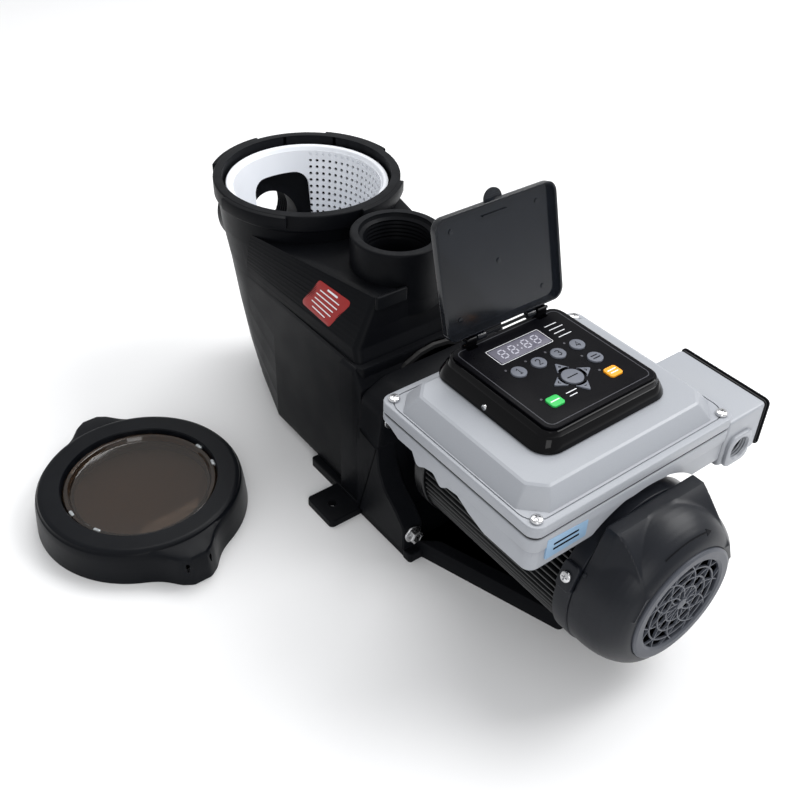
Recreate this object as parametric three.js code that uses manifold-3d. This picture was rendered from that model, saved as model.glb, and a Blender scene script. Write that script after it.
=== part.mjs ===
// Variable-speed pool pump: strainer pot and volute, seal plate, finned motor, drive box and loose lid.
// Millimetres, +Z up. +X runs along the motor shaft from the strainer pot to the fan cover, and the
// wiring box is on the +Y side. The origin is on the underside of the base, midway between its foot tabs.

import * as THREE from 'three';
import { mergeVertices } from 'three/addons/utils/BufferGeometryUtils.js';
import { ConvexGeometry } from 'three/addons/geometries/ConvexGeometry.js';
import Module from 'manifold-3d';

const wasm = await Module();
wasm.setup();

// ---- driving dimensions ----------------------------------------------------------------------------

const GAP = 0.3;                 // clearance between pieces that touch

const potX = -193;               // strainer pot axis
const potTop = 253;              // sealing face of the pot
const potRing = 93;              // outer radius of the pot's lock ring seat
const potMouth = 84;             // radius of the open mouth
const potWall = 5;
const potFloor = 14;             // top of the pot's bottom wall
const lugRadius = 96.5;          // bayonet lugs round the pot's mouth
const lugAngle = 45;             // each lug's width, and the lock ring's twist, in degrees

const portRadius = 43.4;         // outside of the threaded port bosses
const portBore = 31;
const dischargeX = -44.4;
const dischargeTop = 254.7;
const suctionEnd = -312;         // face of the suction boss
const suctionZ = 166;

const shaftZ = 100;              // height of the motor shaft
const flangeStart = -15;         // housing flange
const flangeEnd = 18;
const flangeHalf = 86;           // half the width of the housing flange
const flangeTop = 150;
const plateEnd = 50;             // rear face of the seal plate's flange
const plateHalf = 90;
const bellStart = 62;            // drive end bell
const shellStart = 98;           // finned motor shell
const shellEnd = 262;
const shellRadius = 66;          // root of the fins
const finRadius = 73;
const finCount = 32;
const bellRadius = 75;
const rearBellEnd = 278;
const coverEnd = 326;            // rear face of the fan cover
const grilleRadius = 52;
const grilleEnd = 330;
const shaftRadius = 8.5;
const chamberStart = -48;        // volute chamber
const chamberRadius = 66;
const impellerRadius = 50;
const fanRadius = 50;
const grilleOpening = 43.6;
const earTop = 79;               // height of the rear bell's screw ears above the shaft
const earTurn = 1.2;             // turn of the rear bell's screw ears from straight up, in radians
const drainRadius = 7;
const drainZ = 36;
const basketWindow = 62;

const baseHeight = 10;           // base plate
const baseStart = -66;
const baseEnd = 93;
const baseHalf = 87;
const footHalf = 21.5;           // half the length of a foot tab along X
const footEnd = 122;             // reach of a foot tab from the middle

const boxX = 183.5;              // middle of the drive box
const boxY = -12.6;
const boxLength = 181;           // drive box along X
const boxWidth = 218;            // drive box along Y
const boxBottom = 163;
const boxSeam = 196;             // joint between the lower casting and the lid
const boxFlange = 208;           // face that the lid screws sit on
const boxTop = 222;              // raised top of the lid
const boxFloor = 187;            // underside of the floor over the motor
const gasketHeight = 2;
const saddleRadius = 86;         // arch that clears the motor
const wiringY = 136.5;           // outer face of the wiring box
const wiringStart = 184;
const wiringBottom = 156;
const wiringTop = 202;
const conduitY = 109.5;
const conduitZ = 169;
const conduitRadius = 10;

const keypadX = 169;             // middle of the keypad
const keypadY = -9;
const keypadSize = 116;          // sides of the keypad panel
const bezelTop = 238;
const panelTop = 240;
const hinge = { x: 113, z: 245.5 };
const pinRadius = 1.4;
const coverAngle = 105;          // opening angle as it stands, in degrees
const coverHeight = 105;
const coverWidth = 124;

const lidX = -111.2;             // loose lid, lying beside the pump
const lidY = -252.8;
const lidTop = 36;
const lidOuter = 100.5;
const lidWall = 3.2;
const lidMouth = 74;
const wingReach = 119;

// ---- finishes --------------------------------------------------------------------------------------

const finishes = {
  blackPlastic: { color: 0x17181a, roughness: 0.55, metalness: 0 },
  greyPaint: { color: 0xb9bec2, roughness: 0.4, metalness: 0 },
  finPaint: { color: 0x101113, roughness: 0.35, metalness: 0.3 },
  coverPlastic: { color: 0x3a3d42, roughness: 0.45, metalness: 0 },
  grillePlastic: { color: 0x6d7278, roughness: 0.45, metalness: 0 },
  glossBlack: { color: 0x060607, roughness: 0.08, metalness: 0 },
  panelBlack: { color: 0x14151a, roughness: 0.4, metalness: 0 },
  smoke: { color: 0x1b2026, roughness: 0.1, metalness: 0 },
  amber: { color: 0x5a3a26, roughness: 0.1, metalness: 0 },
  whitePlastic: { color: 0xe9eaec, roughness: 0.4, metalness: 0 },
  displayGrey: { color: 0xa9a7b4, roughness: 0.3, metalness: 0 },
  buttonGrey: { color: 0x6b6e76, roughness: 0.5, metalness: 0 },
  buttonOrange: { color: 0xf09a1e, roughness: 0.5, metalness: 0 },
  buttonGreen: { color: 0x3fbf5a, roughness: 0.5, metalness: 0 },
  rubber: { color: 0x0d0d0e, roughness: 0.8, metalness: 0 },
  steel: { color: 0xc4c6c8, roughness: 0.25, metalness: 1 },
  lamination: { color: 0x55575b, roughness: 0.5, metalness: 0.8 },
  copper: { color: 0xb06a3a, roughness: 0.4, metalness: 0.9 },
  ceramic: { color: 0xe8e2d6, roughness: 0.3, metalness: 0 },
  boardGreen: { color: 0x1f5a38, roughness: 0.5, metalness: 0 },
};

// ---- solids ----------------------------------------------------------------------------------------

// A closed geometry as a solid: shared vertices merged, collapsed triangles dropped, faces pointing out.
function toSolid(geometry) {
  const bare = geometry.clone();
  for (const name of Object.keys(bare.attributes)) if (name !== 'position') bare.deleteAttribute(name);
  const merged = mergeVertices(bare, 1e-4);
  const points = merged.attributes.position.array;
  const source = merged.index.array;
  const triangles = [];
  let volume = 0;
  for (let i = 0; i < source.length; i += 3) {
    const [a, b, c] = [source[i], source[i + 1], source[i + 2]];
    if (a === b || b === c || c === a) continue;
    triangles.push(a, b, c);
    const corner = (n) => new THREE.Vector3().fromArray(points, 3 * n);
    volume += corner(a).dot(corner(b).cross(corner(c)));
  }
  if (volume < 0) triangles.reverse();
  return new wasm.Manifold(new wasm.Mesh({
    numProp: 3, vertProperties: new Float32Array(points), triVerts: new Uint32Array(triangles),
  }));
}

function toGeometry(solid) {
  const mesh = solid.getMesh();
  const geometry = new THREE.BufferGeometry();
  geometry.setAttribute('position', new THREE.BufferAttribute(new Float32Array(mesh.vertProperties), 3));
  geometry.setIndex(new THREE.BufferAttribute(new Uint32Array(mesh.triVerts), 1));
  return geometry;
}

const join = (first, ...rest) => toGeometry(rest.reduce((sum, g) => sum.add(toSolid(g)), toSolid(first)));
const cut = (first, ...rest) => toGeometry(rest.reduce((sum, g) => sum.subtract(toSolid(g)), toSolid(first)));
const common = (first, second) => toGeometry(toSolid(first).intersect(toSolid(second)));

// A profile of [radius, height] points turned about Z.
function turned(profile, segments = 24) {
  const points = profile.map(([radius, height]) => new THREE.Vector2(radius, height));
  return new THREE.LatheGeometry(points, segments).rotateX(Math.PI / 2);
}

// The same profile turned about X, with its heights along +X.
function turnedAlongX(profile, segments = 24) {
  const points = profile.map(([radius, height]) => new THREE.Vector2(radius, height));
  return new THREE.LatheGeometry(points, segments).rotateZ(-Math.PI / 2);
}

// A ring of rectangular section about Z, or a disc where the inner radius is 0.
function ring(inner, outer, bottom, top, segments = 24) {
  if (inner === 0) return turned([[0, bottom], [outer, bottom], [outer, top], [0, top]], segments);
  return turned([[inner, bottom], [outer, bottom], [outer, top], [inner, top], [inner, bottom]], segments);
}

const alongX = (inner, outer, start, end, segments) =>
  ring(inner, outer, start, end, segments).rotateY(Math.PI / 2);
const alongY = (inner, outer, start, end, segments) =>
  ring(inner, outer, start, end, segments).rotateX(-Math.PI / 2);

// A box between two corners.
function block(x0, x1, y0, y1, z0, z1) {
  return new THREE.BoxGeometry(x1 - x0, y1 - y0, z1 - z0)
    .translate((x0 + x1) / 2, (y0 + y1) / 2, (z0 + z1) / 2);
}

// A rectangle with round corners, centred on the origin.
function roundedRectangle(width, depth, radius) {
  const [x, y] = [width / 2, depth / 2];
  const shape = new THREE.Shape();
  shape.moveTo(-x + radius, -y);
  shape.lineTo(x - radius, -y);
  shape.absarc(x - radius, -y + radius, radius, -Math.PI / 2, 0);
  shape.lineTo(x, y - radius);
  shape.absarc(x - radius, y - radius, radius, 0, Math.PI / 2);
  shape.lineTo(-x + radius, y);
  shape.absarc(-x + radius, y - radius, radius, Math.PI / 2, Math.PI);
  shape.lineTo(-x, -y + radius);
  shape.absarc(-x + radius, -y + radius, radius, Math.PI, 1.5 * Math.PI);
  return shape;
}

// A shape in the XY plane raised from one height to another.
function raised(shape, bottom, top, curveSegments = 3) {
  return new THREE.ExtrudeGeometry(shape, { depth: top - bottom, bevelEnabled: false, curveSegments })
    .translate(0, 0, bottom);
}

const slab = (width, depth, radius, bottom, top) => raised(roundedRectangle(width, depth, radius), bottom, top);

// A side view, drawn as [x, z] points, carried across from one y to another.
function across(outline, y0, y1) {
  const shape = new THREE.Shape(outline.map(([x, z]) => new THREE.Vector2(x, z)));
  return new THREE.ExtrudeGeometry(shape, { depth: y1 - y0, bevelEnabled: false })
    .rotateX(Math.PI / 2).translate(0, y1, 0);
}

// The hull of a stack of outlines; each outline is a list of [x, y] points at one height.
function hull(...levels) {
  return new ConvexGeometry(levels.flatMap(({ outline, z }) => outline.map(([x, y]) => new THREE.Vector3(x, y, z))));
}

const circle = (x, y, radius, count = 16) => Array.from({ length: count }, (_, i) => {
  const angle = (2 * Math.PI * i) / count;
  return [x + radius * Math.cos(angle), y + radius * Math.sin(angle)];
});

const corners = (x0, x1, half) => [[x0, -half], [x1, -half], [x1, half], [x0, half]];

const model = new THREE.Group();

// A named piece, put in a group at its place.
function piece(name, geometry, finish, parent = model, position = [0, 0, 0]) {
  const mesh = new THREE.Mesh(toGeometry(toSolid(geometry)), new THREE.MeshStandardMaterial(finishes[finish]));
  mesh.name = name;
  mesh.position.set(...position);
  parent.add(mesh);
  return mesh;
}

function group(x, y, z, parent = model) {
  const result = new THREE.Group();
  result.position.set(x, y, z);
  parent.add(result);
  return result;
}

const pot = group(potX, 0, 0);
const shaft = group(0, 0, shaftZ);           // everything that is centred on the motor shaft
const box = group(boxX, boxY, 0);
const keypad = group(keypadX, keypadY, 0);
const lid = group(lidX, lidY, 0);

// ---- strainer pot and volute, one moulding ---------------------------------------------------------

// Outer radius of the pot at heights above the floor.
const potProfile = [[50, 11], [60, 18], [68.6, 65], [75.8, 117], [81.5, 167], [87.6, 208], [89.5, 235]];

// The four long bolts that hold the seal plate to the housing, as [y, z].
const boltPlaces = [[-80, 29], [80, 29], [-74, 134], [74, 134]];

const potOutside = () => turned([[0, 11], ...potProfile, [potRing, 236], [potRing, potTop], [0, potTop]]);

function potInside() {
  const inner = potProfile.filter(([, z]) => z > 20 && z < 230).map(([radius, z]) => [radius - potWall, z]);
  return turned([[0, potFloor], [50, potFloor], [58, 22], ...inner, [82, 239], [potMouth, 240],
    [potMouth, potTop + 1], [0, potTop + 1]]);
}

// One bayonet lug: a sector of a ring that starts at a bearing and spans one lug width.
function lug(start) {
  const shape = new THREE.Shape();
  const [from, to] = [start, start + lugAngle].map(THREE.MathUtils.degToRad);
  shape.absarc(0, 0, lugRadius, from, to);
  shape.absarc(0, 0, potMouth + 3, to, from, true);
  return raised(shape, 240, potTop - 0.4, 4);
}

function housing() {
  const potAt = (index) => ({ outline: circle(potX, 0, potProfile[index][0]), z: potProfile[index][1] });
  const foot = { outline: [...circle(potX, 0, 56), ...corners(-143, flangeEnd - 6, 78)], z: baseHeight + GAP };
  const shoulder = { outline: corners(-143, flangeEnd - 6, 80), z: 164 };
  const lower = hull(foot, potAt(2), potAt(3), shoulder);
  const deck = { outline: circle(dischargeX, 0, portRadius + 3), z: 222 };
  const upper = hull(potAt(3), potAt(4), potAt(5), deck,
    { outline: corners(flangeStart, flangeStart + 18, flangeHalf - 4), z: 160 },
    { outline: corners(flangeStart, flangeEnd - 8, flangeHalf - 3), z: 130 });
  const flange = across([[flangeStart, baseHeight + GAP], [flangeEnd, baseHeight + GAP], [flangeEnd, flangeTop],
    [flangeStart + 20, 167], [flangeStart, 167]], -flangeHalf, flangeHalf);
  const discharge = ring(0, portRadius, 190, dischargeTop).translate(dischargeX, 0, 0);
  const suction = alongX(0, portRadius, suctionEnd, potX - 60).translate(0, 0, suctionZ);
  const lugs = [0, 90, 180, 270].map((turn) => lug(turn).translate(potX, 0, 0));
  const chamber = alongX(0, chamberRadius, chamberStart, flangeEnd + 1).translate(0, 0, shaftZ);
  const throat = alongX(0, 28, -140, chamberStart + 1).translate(0, 0, shaftZ);
  const riser = ring(0, portBore, shaftZ, dischargeTop + 1, 24).translate(dischargeX, 0, 0);
  const intake = alongX(0, portBore, suctionEnd - 1, potX - 50, 24).translate(0, 0, suctionZ);
  const boltHoles = boltPlaces.map(([y, z]) => alongX(0, 6, -6, flangeEnd + 1, 12).translate(0, y, z));
  const drain = join(alongY(0, drainRadius + GAP, 50, 80, 12), alongY(0, 10.4, 65.6, 90, 12)).translate(potX, 0, drainZ);
  const body = join(potOutside().translate(potX, 0, 0), lower, upper, flange, discharge, suction, ...lugs);
  return cut(body, potInside().translate(potX, 0, 0), chamber, throat, riser, intake, drain, ...boltHoles);
}

function strainerBasket() {
  const wall = [[0, 34], [50, 34], [54, 40], [75, 232], [77, 240], [81, 240.3], [81, 245],
    [76, 245], [72.5, 232], [51.5, 41], [48, 36.5], [0, 36.5]];
  const window = raised(roundedRectangle(108, basketWindow, 12), -90, -50).rotateY(Math.PI / 2);
  return cut(turned(wall, 24), window.translate(0, 8, suctionZ - 2));
}

piece('pump_housing', housing(), 'blackPlastic');
piece('drain_plug', join(alongY(0, drainRadius, 56, 66, 12), alongY(0, 10, 65.9, 76, 6)), 'blackPlastic',
  pot, [0, 0, drainZ]);
piece('strainer_basket', strainerBasket(), 'whitePlastic', pot);

// ---- base ------------------------------------------------------------------------------------------

function base() {
  const plate = block(baseStart, baseEnd, -baseHalf, baseHalf, 0, baseHeight);
  const tabs = slab(2 * footHalf, 2 * footEnd, 4, 0, 8);
  const holes = [-1, 1].map((side) => ring(0, 4.5, -1, 11, 12).translate(0, side * 106, 0));
  const start = baseEnd + GAP;
  const taper = (inset, z) => ({ outline: [...corners(start, start + 4, 77 - inset),
    ...corners(232, 240, 30 - inset)], z });
  const opening = (z) => ({ outline: [...corners(start + 8, start + 9, 60), ...corners(190, 191, 28)], z });
  const frame = join(hull(taper(0, 0), taper(2, 18)), block(baseEnd - 4, start + 4, -76, 76, 0, baseHeight));
  const spine = block(start + 2, 200, -9, 9, 0, 22);
  const saddle = cut(block(196, 236, -26, 26, 4, 40), alongX(0, finRadius + 1, 190, 245).translate(0, 0, shaftZ));
  return cut(join(plate, tabs, cut(frame, hull(opening(-1), opening(21))), spine, saddle), ...holes);
}

piece('motor_base', base(), 'blackPlastic');

// ---- seal plate and wet end ------------------------------------------------------------------------

function sealPlate() {
  const start = flangeEnd + GAP;
  const cornerEnd = plateEnd + 43;
  const profile = [[start, baseHeight + GAP], [cornerEnd, baseHeight + GAP], [cornerEnd, 40], [plateEnd + 30, 52],
    [plateEnd + 12, 66], [plateEnd + 3, 84], [plateEnd, 106], [plateEnd, 157], [start, 157]];
  const sides = cut(across(profile, -plateHalf, plateHalf), block(plateEnd, cornerEnd + 1, -68, 68, 0, 160));
  const arch = join(alongX(0, 104, start, plateEnd).translate(0, 0, 53), block(start, 120, -95, 95, 0, 100));
  const barrel = alongX(0, 58, plateEnd - 6, bellStart - GAP).translate(0, 0, shaftZ);
  const recess = alongX(0, 56, start - 1, start + 10).translate(0, 0, shaftZ);
  const sealBore = alongX(0, 23, start, start + 26).translate(0, 0, shaftZ);
  const shaftHole = alongX(0, shaftRadius + 2, 0, 80, 12).translate(0, 0, shaftZ);
  const hollow = alongX(0, 46, plateEnd + 1, bellStart + 1).translate(0, 0, shaftZ);
  const boltHoles = boltPlaces.map(([y, z]) => alongX(0, 4.6, 0, 120, 12).translate(0, y, z));
  return cut(join(common(sides, arch), barrel), recess, sealBore, shaftHole, hollow, ...boltHoles);
}

// A hex bolt with its washer; the head faces +X and the shank reaches forward into the housing.
const longBolt = (reach) => join(alongX(0, 4, -reach, 0.5, 12), alongX(0, 9, 0, 2, 20), alongX(0, 7.5, 1.5, 8, 6));

// Thin curved walls that stand along X, as on an impeller or a fan.
function vanes(count, inner, outer, start, end, sweep) {
  const steps = 2;
  const half = 1.2;
  const edge = (turn, side) => Array.from({ length: steps + 1 }, (_, k) => {
    const radius = inner + ((outer - inner) * k) / steps;
    const angle = turn + (sweep * k) / steps;
    return new THREE.Vector2(radius * Math.cos(angle) - side * Math.sin(angle),
      radius * Math.sin(angle) + side * Math.cos(angle));
  });
  return Array.from({ length: count }, (_, i) => {
    const turn = (2 * Math.PI * i) / count;
    const shape = new THREE.Shape([...edge(turn, -half), ...edge(turn, half).reverse()]);
    return new THREE.ExtrudeGeometry(shape, { depth: end - start, bevelEnabled: false })
      .translate(0, 0, start).rotateY(Math.PI / 2);
  });
}

function impeller() {
  const front = alongX(20, impellerRadius, -24, -21.5, 24);
  const back = alongX(10, impellerRadius, -3, 0, 24);
  const hub = alongX(shaftRadius + GAP, 14, -12, 8, 12);
  return join(front, back, hub, ...vanes(6, 13, impellerRadius - 1, -22, -1, 0.9));
}

function diffuser() {
  const plate = alongX(22, chamberRadius - 1, -34, -31, 24);
  const wall = alongX(impellerRadius + 3, impellerRadius + 6, -32, -2, 24);
  const eye = alongX(16, 19, -46, -25, 12);
  return join(plate, wall, eye, alongX(16, 24, -34, -31, 12));
}

piece('seal_plate', sealPlate(), 'blackPlastic');
piece('housing_seal', alongX(chamberRadius - 5, chamberRadius - 1, flangeEnd - 5, flangeEnd - 1, 24), 'rubber', shaft);
piece('diffuser', diffuser(), 'blackPlastic', shaft);
piece('seal_seat', alongX(shaftRadius + 2, 22, 36, 43, 12), 'ceramic', shaft);
boltPlaces.forEach(([y, z], index) => {
  const seat = (z < 60 ? plateEnd + 43 : plateEnd) + GAP;
  piece(`housing_bolt_${index + 1}`, longBolt(seat), 'steel', model, [seat, y, z]);
});

// ---- rotor: all that turns with the shaft ----------------------------------------------------------

function coolingFan() {
  const disc = alongX(shaftRadius + GAP, 44, 290, 292.5, 24);
  const hub = alongX(shaftRadius + GAP, 14, 284, 306, 12);
  return join(disc, hub, ...vanes(9, 13, fanRadius, 291, 306, 0.25));
}

piece('motor_shaft', join(alongX(0, shaftRadius, -14, 300, 12), alongX(0, 12, 122, 222, 12)), 'steel', shaft);
piece('rotor_core', alongX(12 + GAP, 34, 124, 220, 24), 'lamination', shaft);
piece('impeller', impeller(), 'blackPlastic', shaft);
piece('seal_head', join(alongX(shaftRadius + GAP, 17, 9, 26, 12), alongX(shaftRadius + GAP, 14, 25, 35.7, 12)),
  'steel', shaft);
piece('cooling_fan', coolingFan(), 'grillePlastic', shaft);

// ---- motor -----------------------------------------------------------------------------------------

// A screw with a domed head that stands on z = 0 and a shank below it.
function panScrew(length) {
  return join(ring(0, 2.3, -length, 0.5, 12), turned([[0, 0], [5, 0], [4.4, 2.6], [0, 3.2]], 10));
}

function motorShell() {
  const outline = Array.from({ length: finCount }, (_, i) => {
    const middle = (2 * Math.PI * i) / finCount;
    const at = (radius, turn) => new THREE.Vector2(radius * Math.cos(middle + turn), radius * Math.sin(middle + turn));
    return [at(shellRadius, -0.035), at(finRadius, -0.012), at(finRadius, 0.012), at(shellRadius, 0.035)];
  }).flat();
  const shape = new THREE.Shape(outline);
  const bore = new THREE.Path();
  bore.absarc(0, 0, shellRadius - 4, 0, 2 * Math.PI);
  shape.holes.push(bore);
  const shell = new THREE.ExtrudeGeometry(shape, { depth: shellEnd - shellStart, bevelEnabled: false, curveSegments: 16 })
    .rotateY(Math.PI / 2).translate(shellStart + GAP, 0, 0);
  return join(shell, block(boxX - 30, boxX + 30, -26, 26, shellRadius - 2, boxFloor - GAP - shaftZ));
}

function driveEndBell() {
  const profile = [[20.3, 82], [20.3, 97], [24, 97], [26, 90], [58, 88], [61, 98], [bellRadius, 98], [bellRadius, 86],
    [60, bellStart + 4], [52, bellStart], [30, bellStart], [24, 79], [10, 79], [10, 82], [20.3, 82]];
  return turnedAlongX(profile, 24);
}

function rearEndBell() {
  const [start, end] = [shellEnd + 2 * GAP, rearBellEnd];
  const wall = alongX(61, bellRadius + 1, start, end, 24);
  const web = alongX(24, 62, end - 8, end - 4, 24);
  const hub = cut(alongX(0, 26, start, end, 12), alongX(0, 20.3, start - 1, end - 3, 12),
    alongX(0, 10, start, end + 1, 12));
  const ears = [earTurn, -earTurn].map((turn) => block(start, end, -11, 11, bellRadius - 8, earTop).rotateX(turn));
  const screwHoles = [earTurn, -earTurn].map((turn) =>
    ring(0, 2.6, 62, earTop + 1, 12).translate((start + end) / 2, 0, 0).rotateX(turn));
  return cut(join(wall, web, hub, ...ears), ...screwHoles);
}

function fanCover() {
  const start = rearBellEnd + GAP;
  const outer = [[grilleRadius - 6, coverEnd], [bellRadius - 12, coverEnd - 2], [bellRadius - 2, coverEnd - 16],
    [bellRadius, coverEnd - 34], [bellRadius, start]];
  const outside = turnedAlongX([[0, start], ...[...outer].reverse(), [0, coverEnd]], 24);
  const hood = new ConvexGeometry([-1, 1].flatMap((side) => [[start, 46, 74], [start + 6, 44, 74.5], [start, 60, 44],
    [start + 22, 52, 44], [coverEnd - 14, 30, 52], [start, 0, 0]]
    .map(([x, y, z]) => new THREE.Vector3(x, side * y, z))));
  const inside = turnedAlongX([[0, start - 1], [bellRadius - 4, start - 1], [bellRadius - 4, coverEnd - 34],
    [bellRadius - 7, coverEnd - 18], [bellRadius - 16, coverEnd - 4], [0, coverEnd - 4]], 24);
  const seat = alongX(0, grilleRadius + GAP, coverEnd - 2, coverEnd + 10, 24);
  const mouth = alongX(0, grilleOpening, coverEnd - 10, coverEnd + 10, 24);
  return cut(join(outside, hood), inside, seat, mouth);
}

// The round grille: a rim joined by curved arms that cross a few thin rings.
function fanGrille() {
  const [start, end] = [coverEnd - 1.7, grilleEnd - 2];
  const rim = alongX(grilleOpening - 1, grilleRadius, start, grilleEnd - 1.5, 24);
  const rings = [15, 29].map((radius) => alongX(radius - 1, radius + 1, start, end, 24));
  const hub = alongX(0, 5, start, end, 12);
  return join(rim, hub, ...rings, ...vanes(8, 3, grilleOpening, start, end, 1.1));
}

piece('drive_end_bell', driveEndBell(), 'finPaint', shaft);
piece('front_bearing', alongX(shaftRadius + GAP, 20, 83, 95, 12), 'steel', shaft);
piece('motor_shell', motorShell(), 'finPaint', shaft);
piece('stator', alongX(35, shellRadius - 4 - GAP, 124, 220, 36), 'copper', shaft);
piece('rear_end_bell', rearEndBell(), 'coverPlastic', shaft);
piece('rear_bearing', alongX(shaftRadius + GAP, 20, 263, 274.5, 12), 'steel', shaft);
piece('fan_cover', fanCover(), 'coverPlastic', shaft);
piece('fan_grille', fanGrille(), 'grillePlastic', shaft);
[earTurn, -earTurn].forEach((turn, index) => {
  const screw = panScrew(12).translate((shellEnd + rearBellEnd) / 2 + GAP, 0, earTop + GAP).rotateX(turn);
  piece(`fan_cover_screw_${index + 1}`, screw, 'steel', shaft);
});

// ---- drive box -------------------------------------------------------------------------------------

const boxEnd = boxX + boxLength / 2;
const boxSide = boxY + boxWidth / 2;         // face that carries the wiring box
const lidScrewPlaces = [[-82, -99.6], [82, -99.6], [82, 99.6], [-82, 99.6]];

// The lower casting: a floor and skirt that saddles the motor, and the wiring box on its +Y side.
function driveBase() {
  const shell = slab(boxLength, boxWidth, 10, boxBottom, boxSeam).translate(boxX, boxY, 0);
  const hollow = slab(boxLength - 10, boxWidth - 10, 7, boxFloor + 3, boxSeam + 1).translate(boxX, boxY, 0);
  const saddle = alongX(0, saddleRadius, 60, 300, 24).translate(0, 0, shaftZ);
  const under = slab(boxLength - 10, boxWidth - 10, 6, boxBottom - 1, boxFloor).translate(boxX, boxY, 0);
  const wiring = join(block(wiringStart, boxEnd, boxSide - 4, wiringY, wiringBottom, boxSeam),
    block(wiringStart, boxEnd, boxSide + GAP, wiringY, wiringBottom, wiringTop));
  const pocket = block(wiringStart + 4, boxEnd - 4, boxSide + 2, wiringY + 1, wiringBottom + 4, wiringTop - 4);
  const atConduit = (radius, start, end) => alongX(0, radius, boxEnd + start, boxEnd + end, 12)
    .translate(0, conduitY, conduitZ);
  return cut(join(cut(shell, hollow, saddle, under), wiring, atConduit(conduitRadius + 3.5, -6, 3)),
    pocket, atConduit(conduitRadius, -10, 5));
}

function driveLid() {
  const flange = slab(boxLength, boxWidth, 10, boxSeam + 2 * GAP + gasketHeight, boxFlange);
  const octagon = (x, y, corner) => [...corners(-x, x, y - corner), ...corners(-x + corner, x - corner, y)];
  const plateau = hull({ outline: octagon(82, 104, 17), z: boxFlange - 1 }, { outline: octagon(72, 92, 12), z: boxTop });
  const hollow = slab(boxLength - 42, boxWidth - 42, 6, boxSeam - 1, boxTop - 4);
  const mouth = slab(keypadSize - 12, keypadSize - 12, 6, boxTop - 10, boxTop + 1)
    .translate(keypadX - boxX, keypadY - boxY, 0);
  const screwHoles = lidScrewPlaces.map(([x, y]) => ring(0, 2.6, boxSeam, boxFlange + 1, 12).translate(x, y, 0));
  return cut(join(flange, plateau), hollow, mouth, ...screwHoles);
}

function driveGasket() {
  return cut(slab(boxLength - 4, boxWidth - 4, 9, boxSeam + GAP, boxSeam + GAP + gasketHeight),
    slab(boxLength - 12, boxWidth - 12, 6, boxSeam - 1, boxFlange));
}

piece('drive_base', driveBase(), 'greyPaint');
piece('drive_gasket', driveGasket(), 'rubber', box);
piece('drive_lid', driveLid(), 'greyPaint', box);
piece('circuit_board', slab(140, 150, 4, boxFloor + 7, boxFloor + 10), 'boardGreen', box);
lidScrewPlaces.forEach(([x, y], index) =>
  piece(`drive_lid_screw_${index + 1}`, panScrew(8), 'steel', box, [x, y, boxFlange + GAP]));

function wiringGasket() {
  return cut(block(wiringStart, boxEnd, wiringY + GAP, wiringY + 2, wiringBottom, wiringTop),
    block(wiringStart + 5, boxEnd - 5, wiringY - 1, wiringY + 4, wiringBottom + 5, wiringTop - 5));
}

piece('wiring_gasket', wiringGasket(), 'rubber');
piece('wiring_cover', block(wiringStart - 1, boxEnd + 1, wiringY + 2 + GAP, wiringY + 5.5, wiringBottom - 1, wiringTop + 1),
  'greyPaint');
piece('terminal_block', block(wiringStart + 20, wiringStart + 56, boxSide + 2 + GAP, boxSide + 14, 168, 184),
  'blackPlastic');

// ---- keypad ----------------------------------------------------------------------------------------

const bezelKnuckles = [-38, 38];             // along the hinge, from the keypad's middle
const coverKnuckles = [-27, 27];

// Button outlines, grown by a margin where they make the holes in the panel.
function roundButton(radius) {
  return (margin) => {
    const shape = new THREE.Shape();
    shape.absarc(0, 0, radius + margin, 0, 2 * Math.PI);
    return shape;
  };
}

const squareButton = (margin) => roundedRectangle(11.7 + 2 * margin, 14.3 + 2 * margin, 2.5);

// A triangle that points outward, with its base hollowed to fit round the middle button.
function arrowButton(turn) {
  const baseRadius = 11.4;
  const steps = 6;
  return (margin) => {
    const half = THREE.MathUtils.degToRad(35) + (3.5 * margin) / baseRadius;
    const at = (radius, angle) => new THREE.Vector2(radius * Math.cos(angle), radius * Math.sin(angle));
    const base = Array.from({ length: steps + 1 }, (_, k) => at(baseRadius - margin, turn + half * (1 - (2 * k) / steps)));
    return new THREE.Shape([at(20 + 3 * margin, turn), ...base]);
  };
}

const padMiddle = { x: 190, y: -8.5 };       // middle button of the arrow pad
const buttons = [
  { name: 'speed_button_1', x: 162, y: -38.5, shape: roundButton(7.3), finish: 'buttonGrey' },
  { name: 'speed_button_2', x: 162, y: -17.5, shape: roundButton(7.3), finish: 'buttonGrey' },
  { name: 'speed_button_3', x: 162, y: 3.5, shape: roundButton(7.3), finish: 'buttonGrey' },
  { name: 'speed_button_4', x: 162, y: 24.5, shape: roundButton(7.3), finish: 'buttonGrey' },
  { name: 'quick_clean_button', x: 182.5, y: 24, shape: roundButton(7.3), finish: 'buttonGrey' },
  { name: 'start_stop_button', x: 203.5, y: 22, shape: squareButton, finish: 'buttonOrange' },
  { name: 'menu_button', x: 204, y: -40.5, shape: squareButton, finish: 'buttonGreen' },
  { name: 'display_button', ...padMiddle, shape: roundButton(9), finish: 'buttonGrey' },
  { name: 'arrow_button_up', ...padMiddle, shape: arrowButton(Math.PI), finish: 'buttonGrey' },
  { name: 'arrow_button_right', ...padMiddle, shape: arrowButton(Math.PI / 2), finish: 'buttonGrey' },
  { name: 'arrow_button_down', ...padMiddle, shape: arrowButton(0), finish: 'buttonGrey' },
  { name: 'arrow_button_left', ...padMiddle, shape: arrowButton(-Math.PI / 2), finish: 'buttonGrey' },
];

// The display window's box, measured from the keypad's middle and grown by a margin.
function displayWindow(margin, bottom, top) {
  return slab(18.5 + 2 * margin, 55 + 2 * margin, 1, bottom, top).translate(137.3 - keypadX, -15 - keypadY, 0);
}

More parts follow.
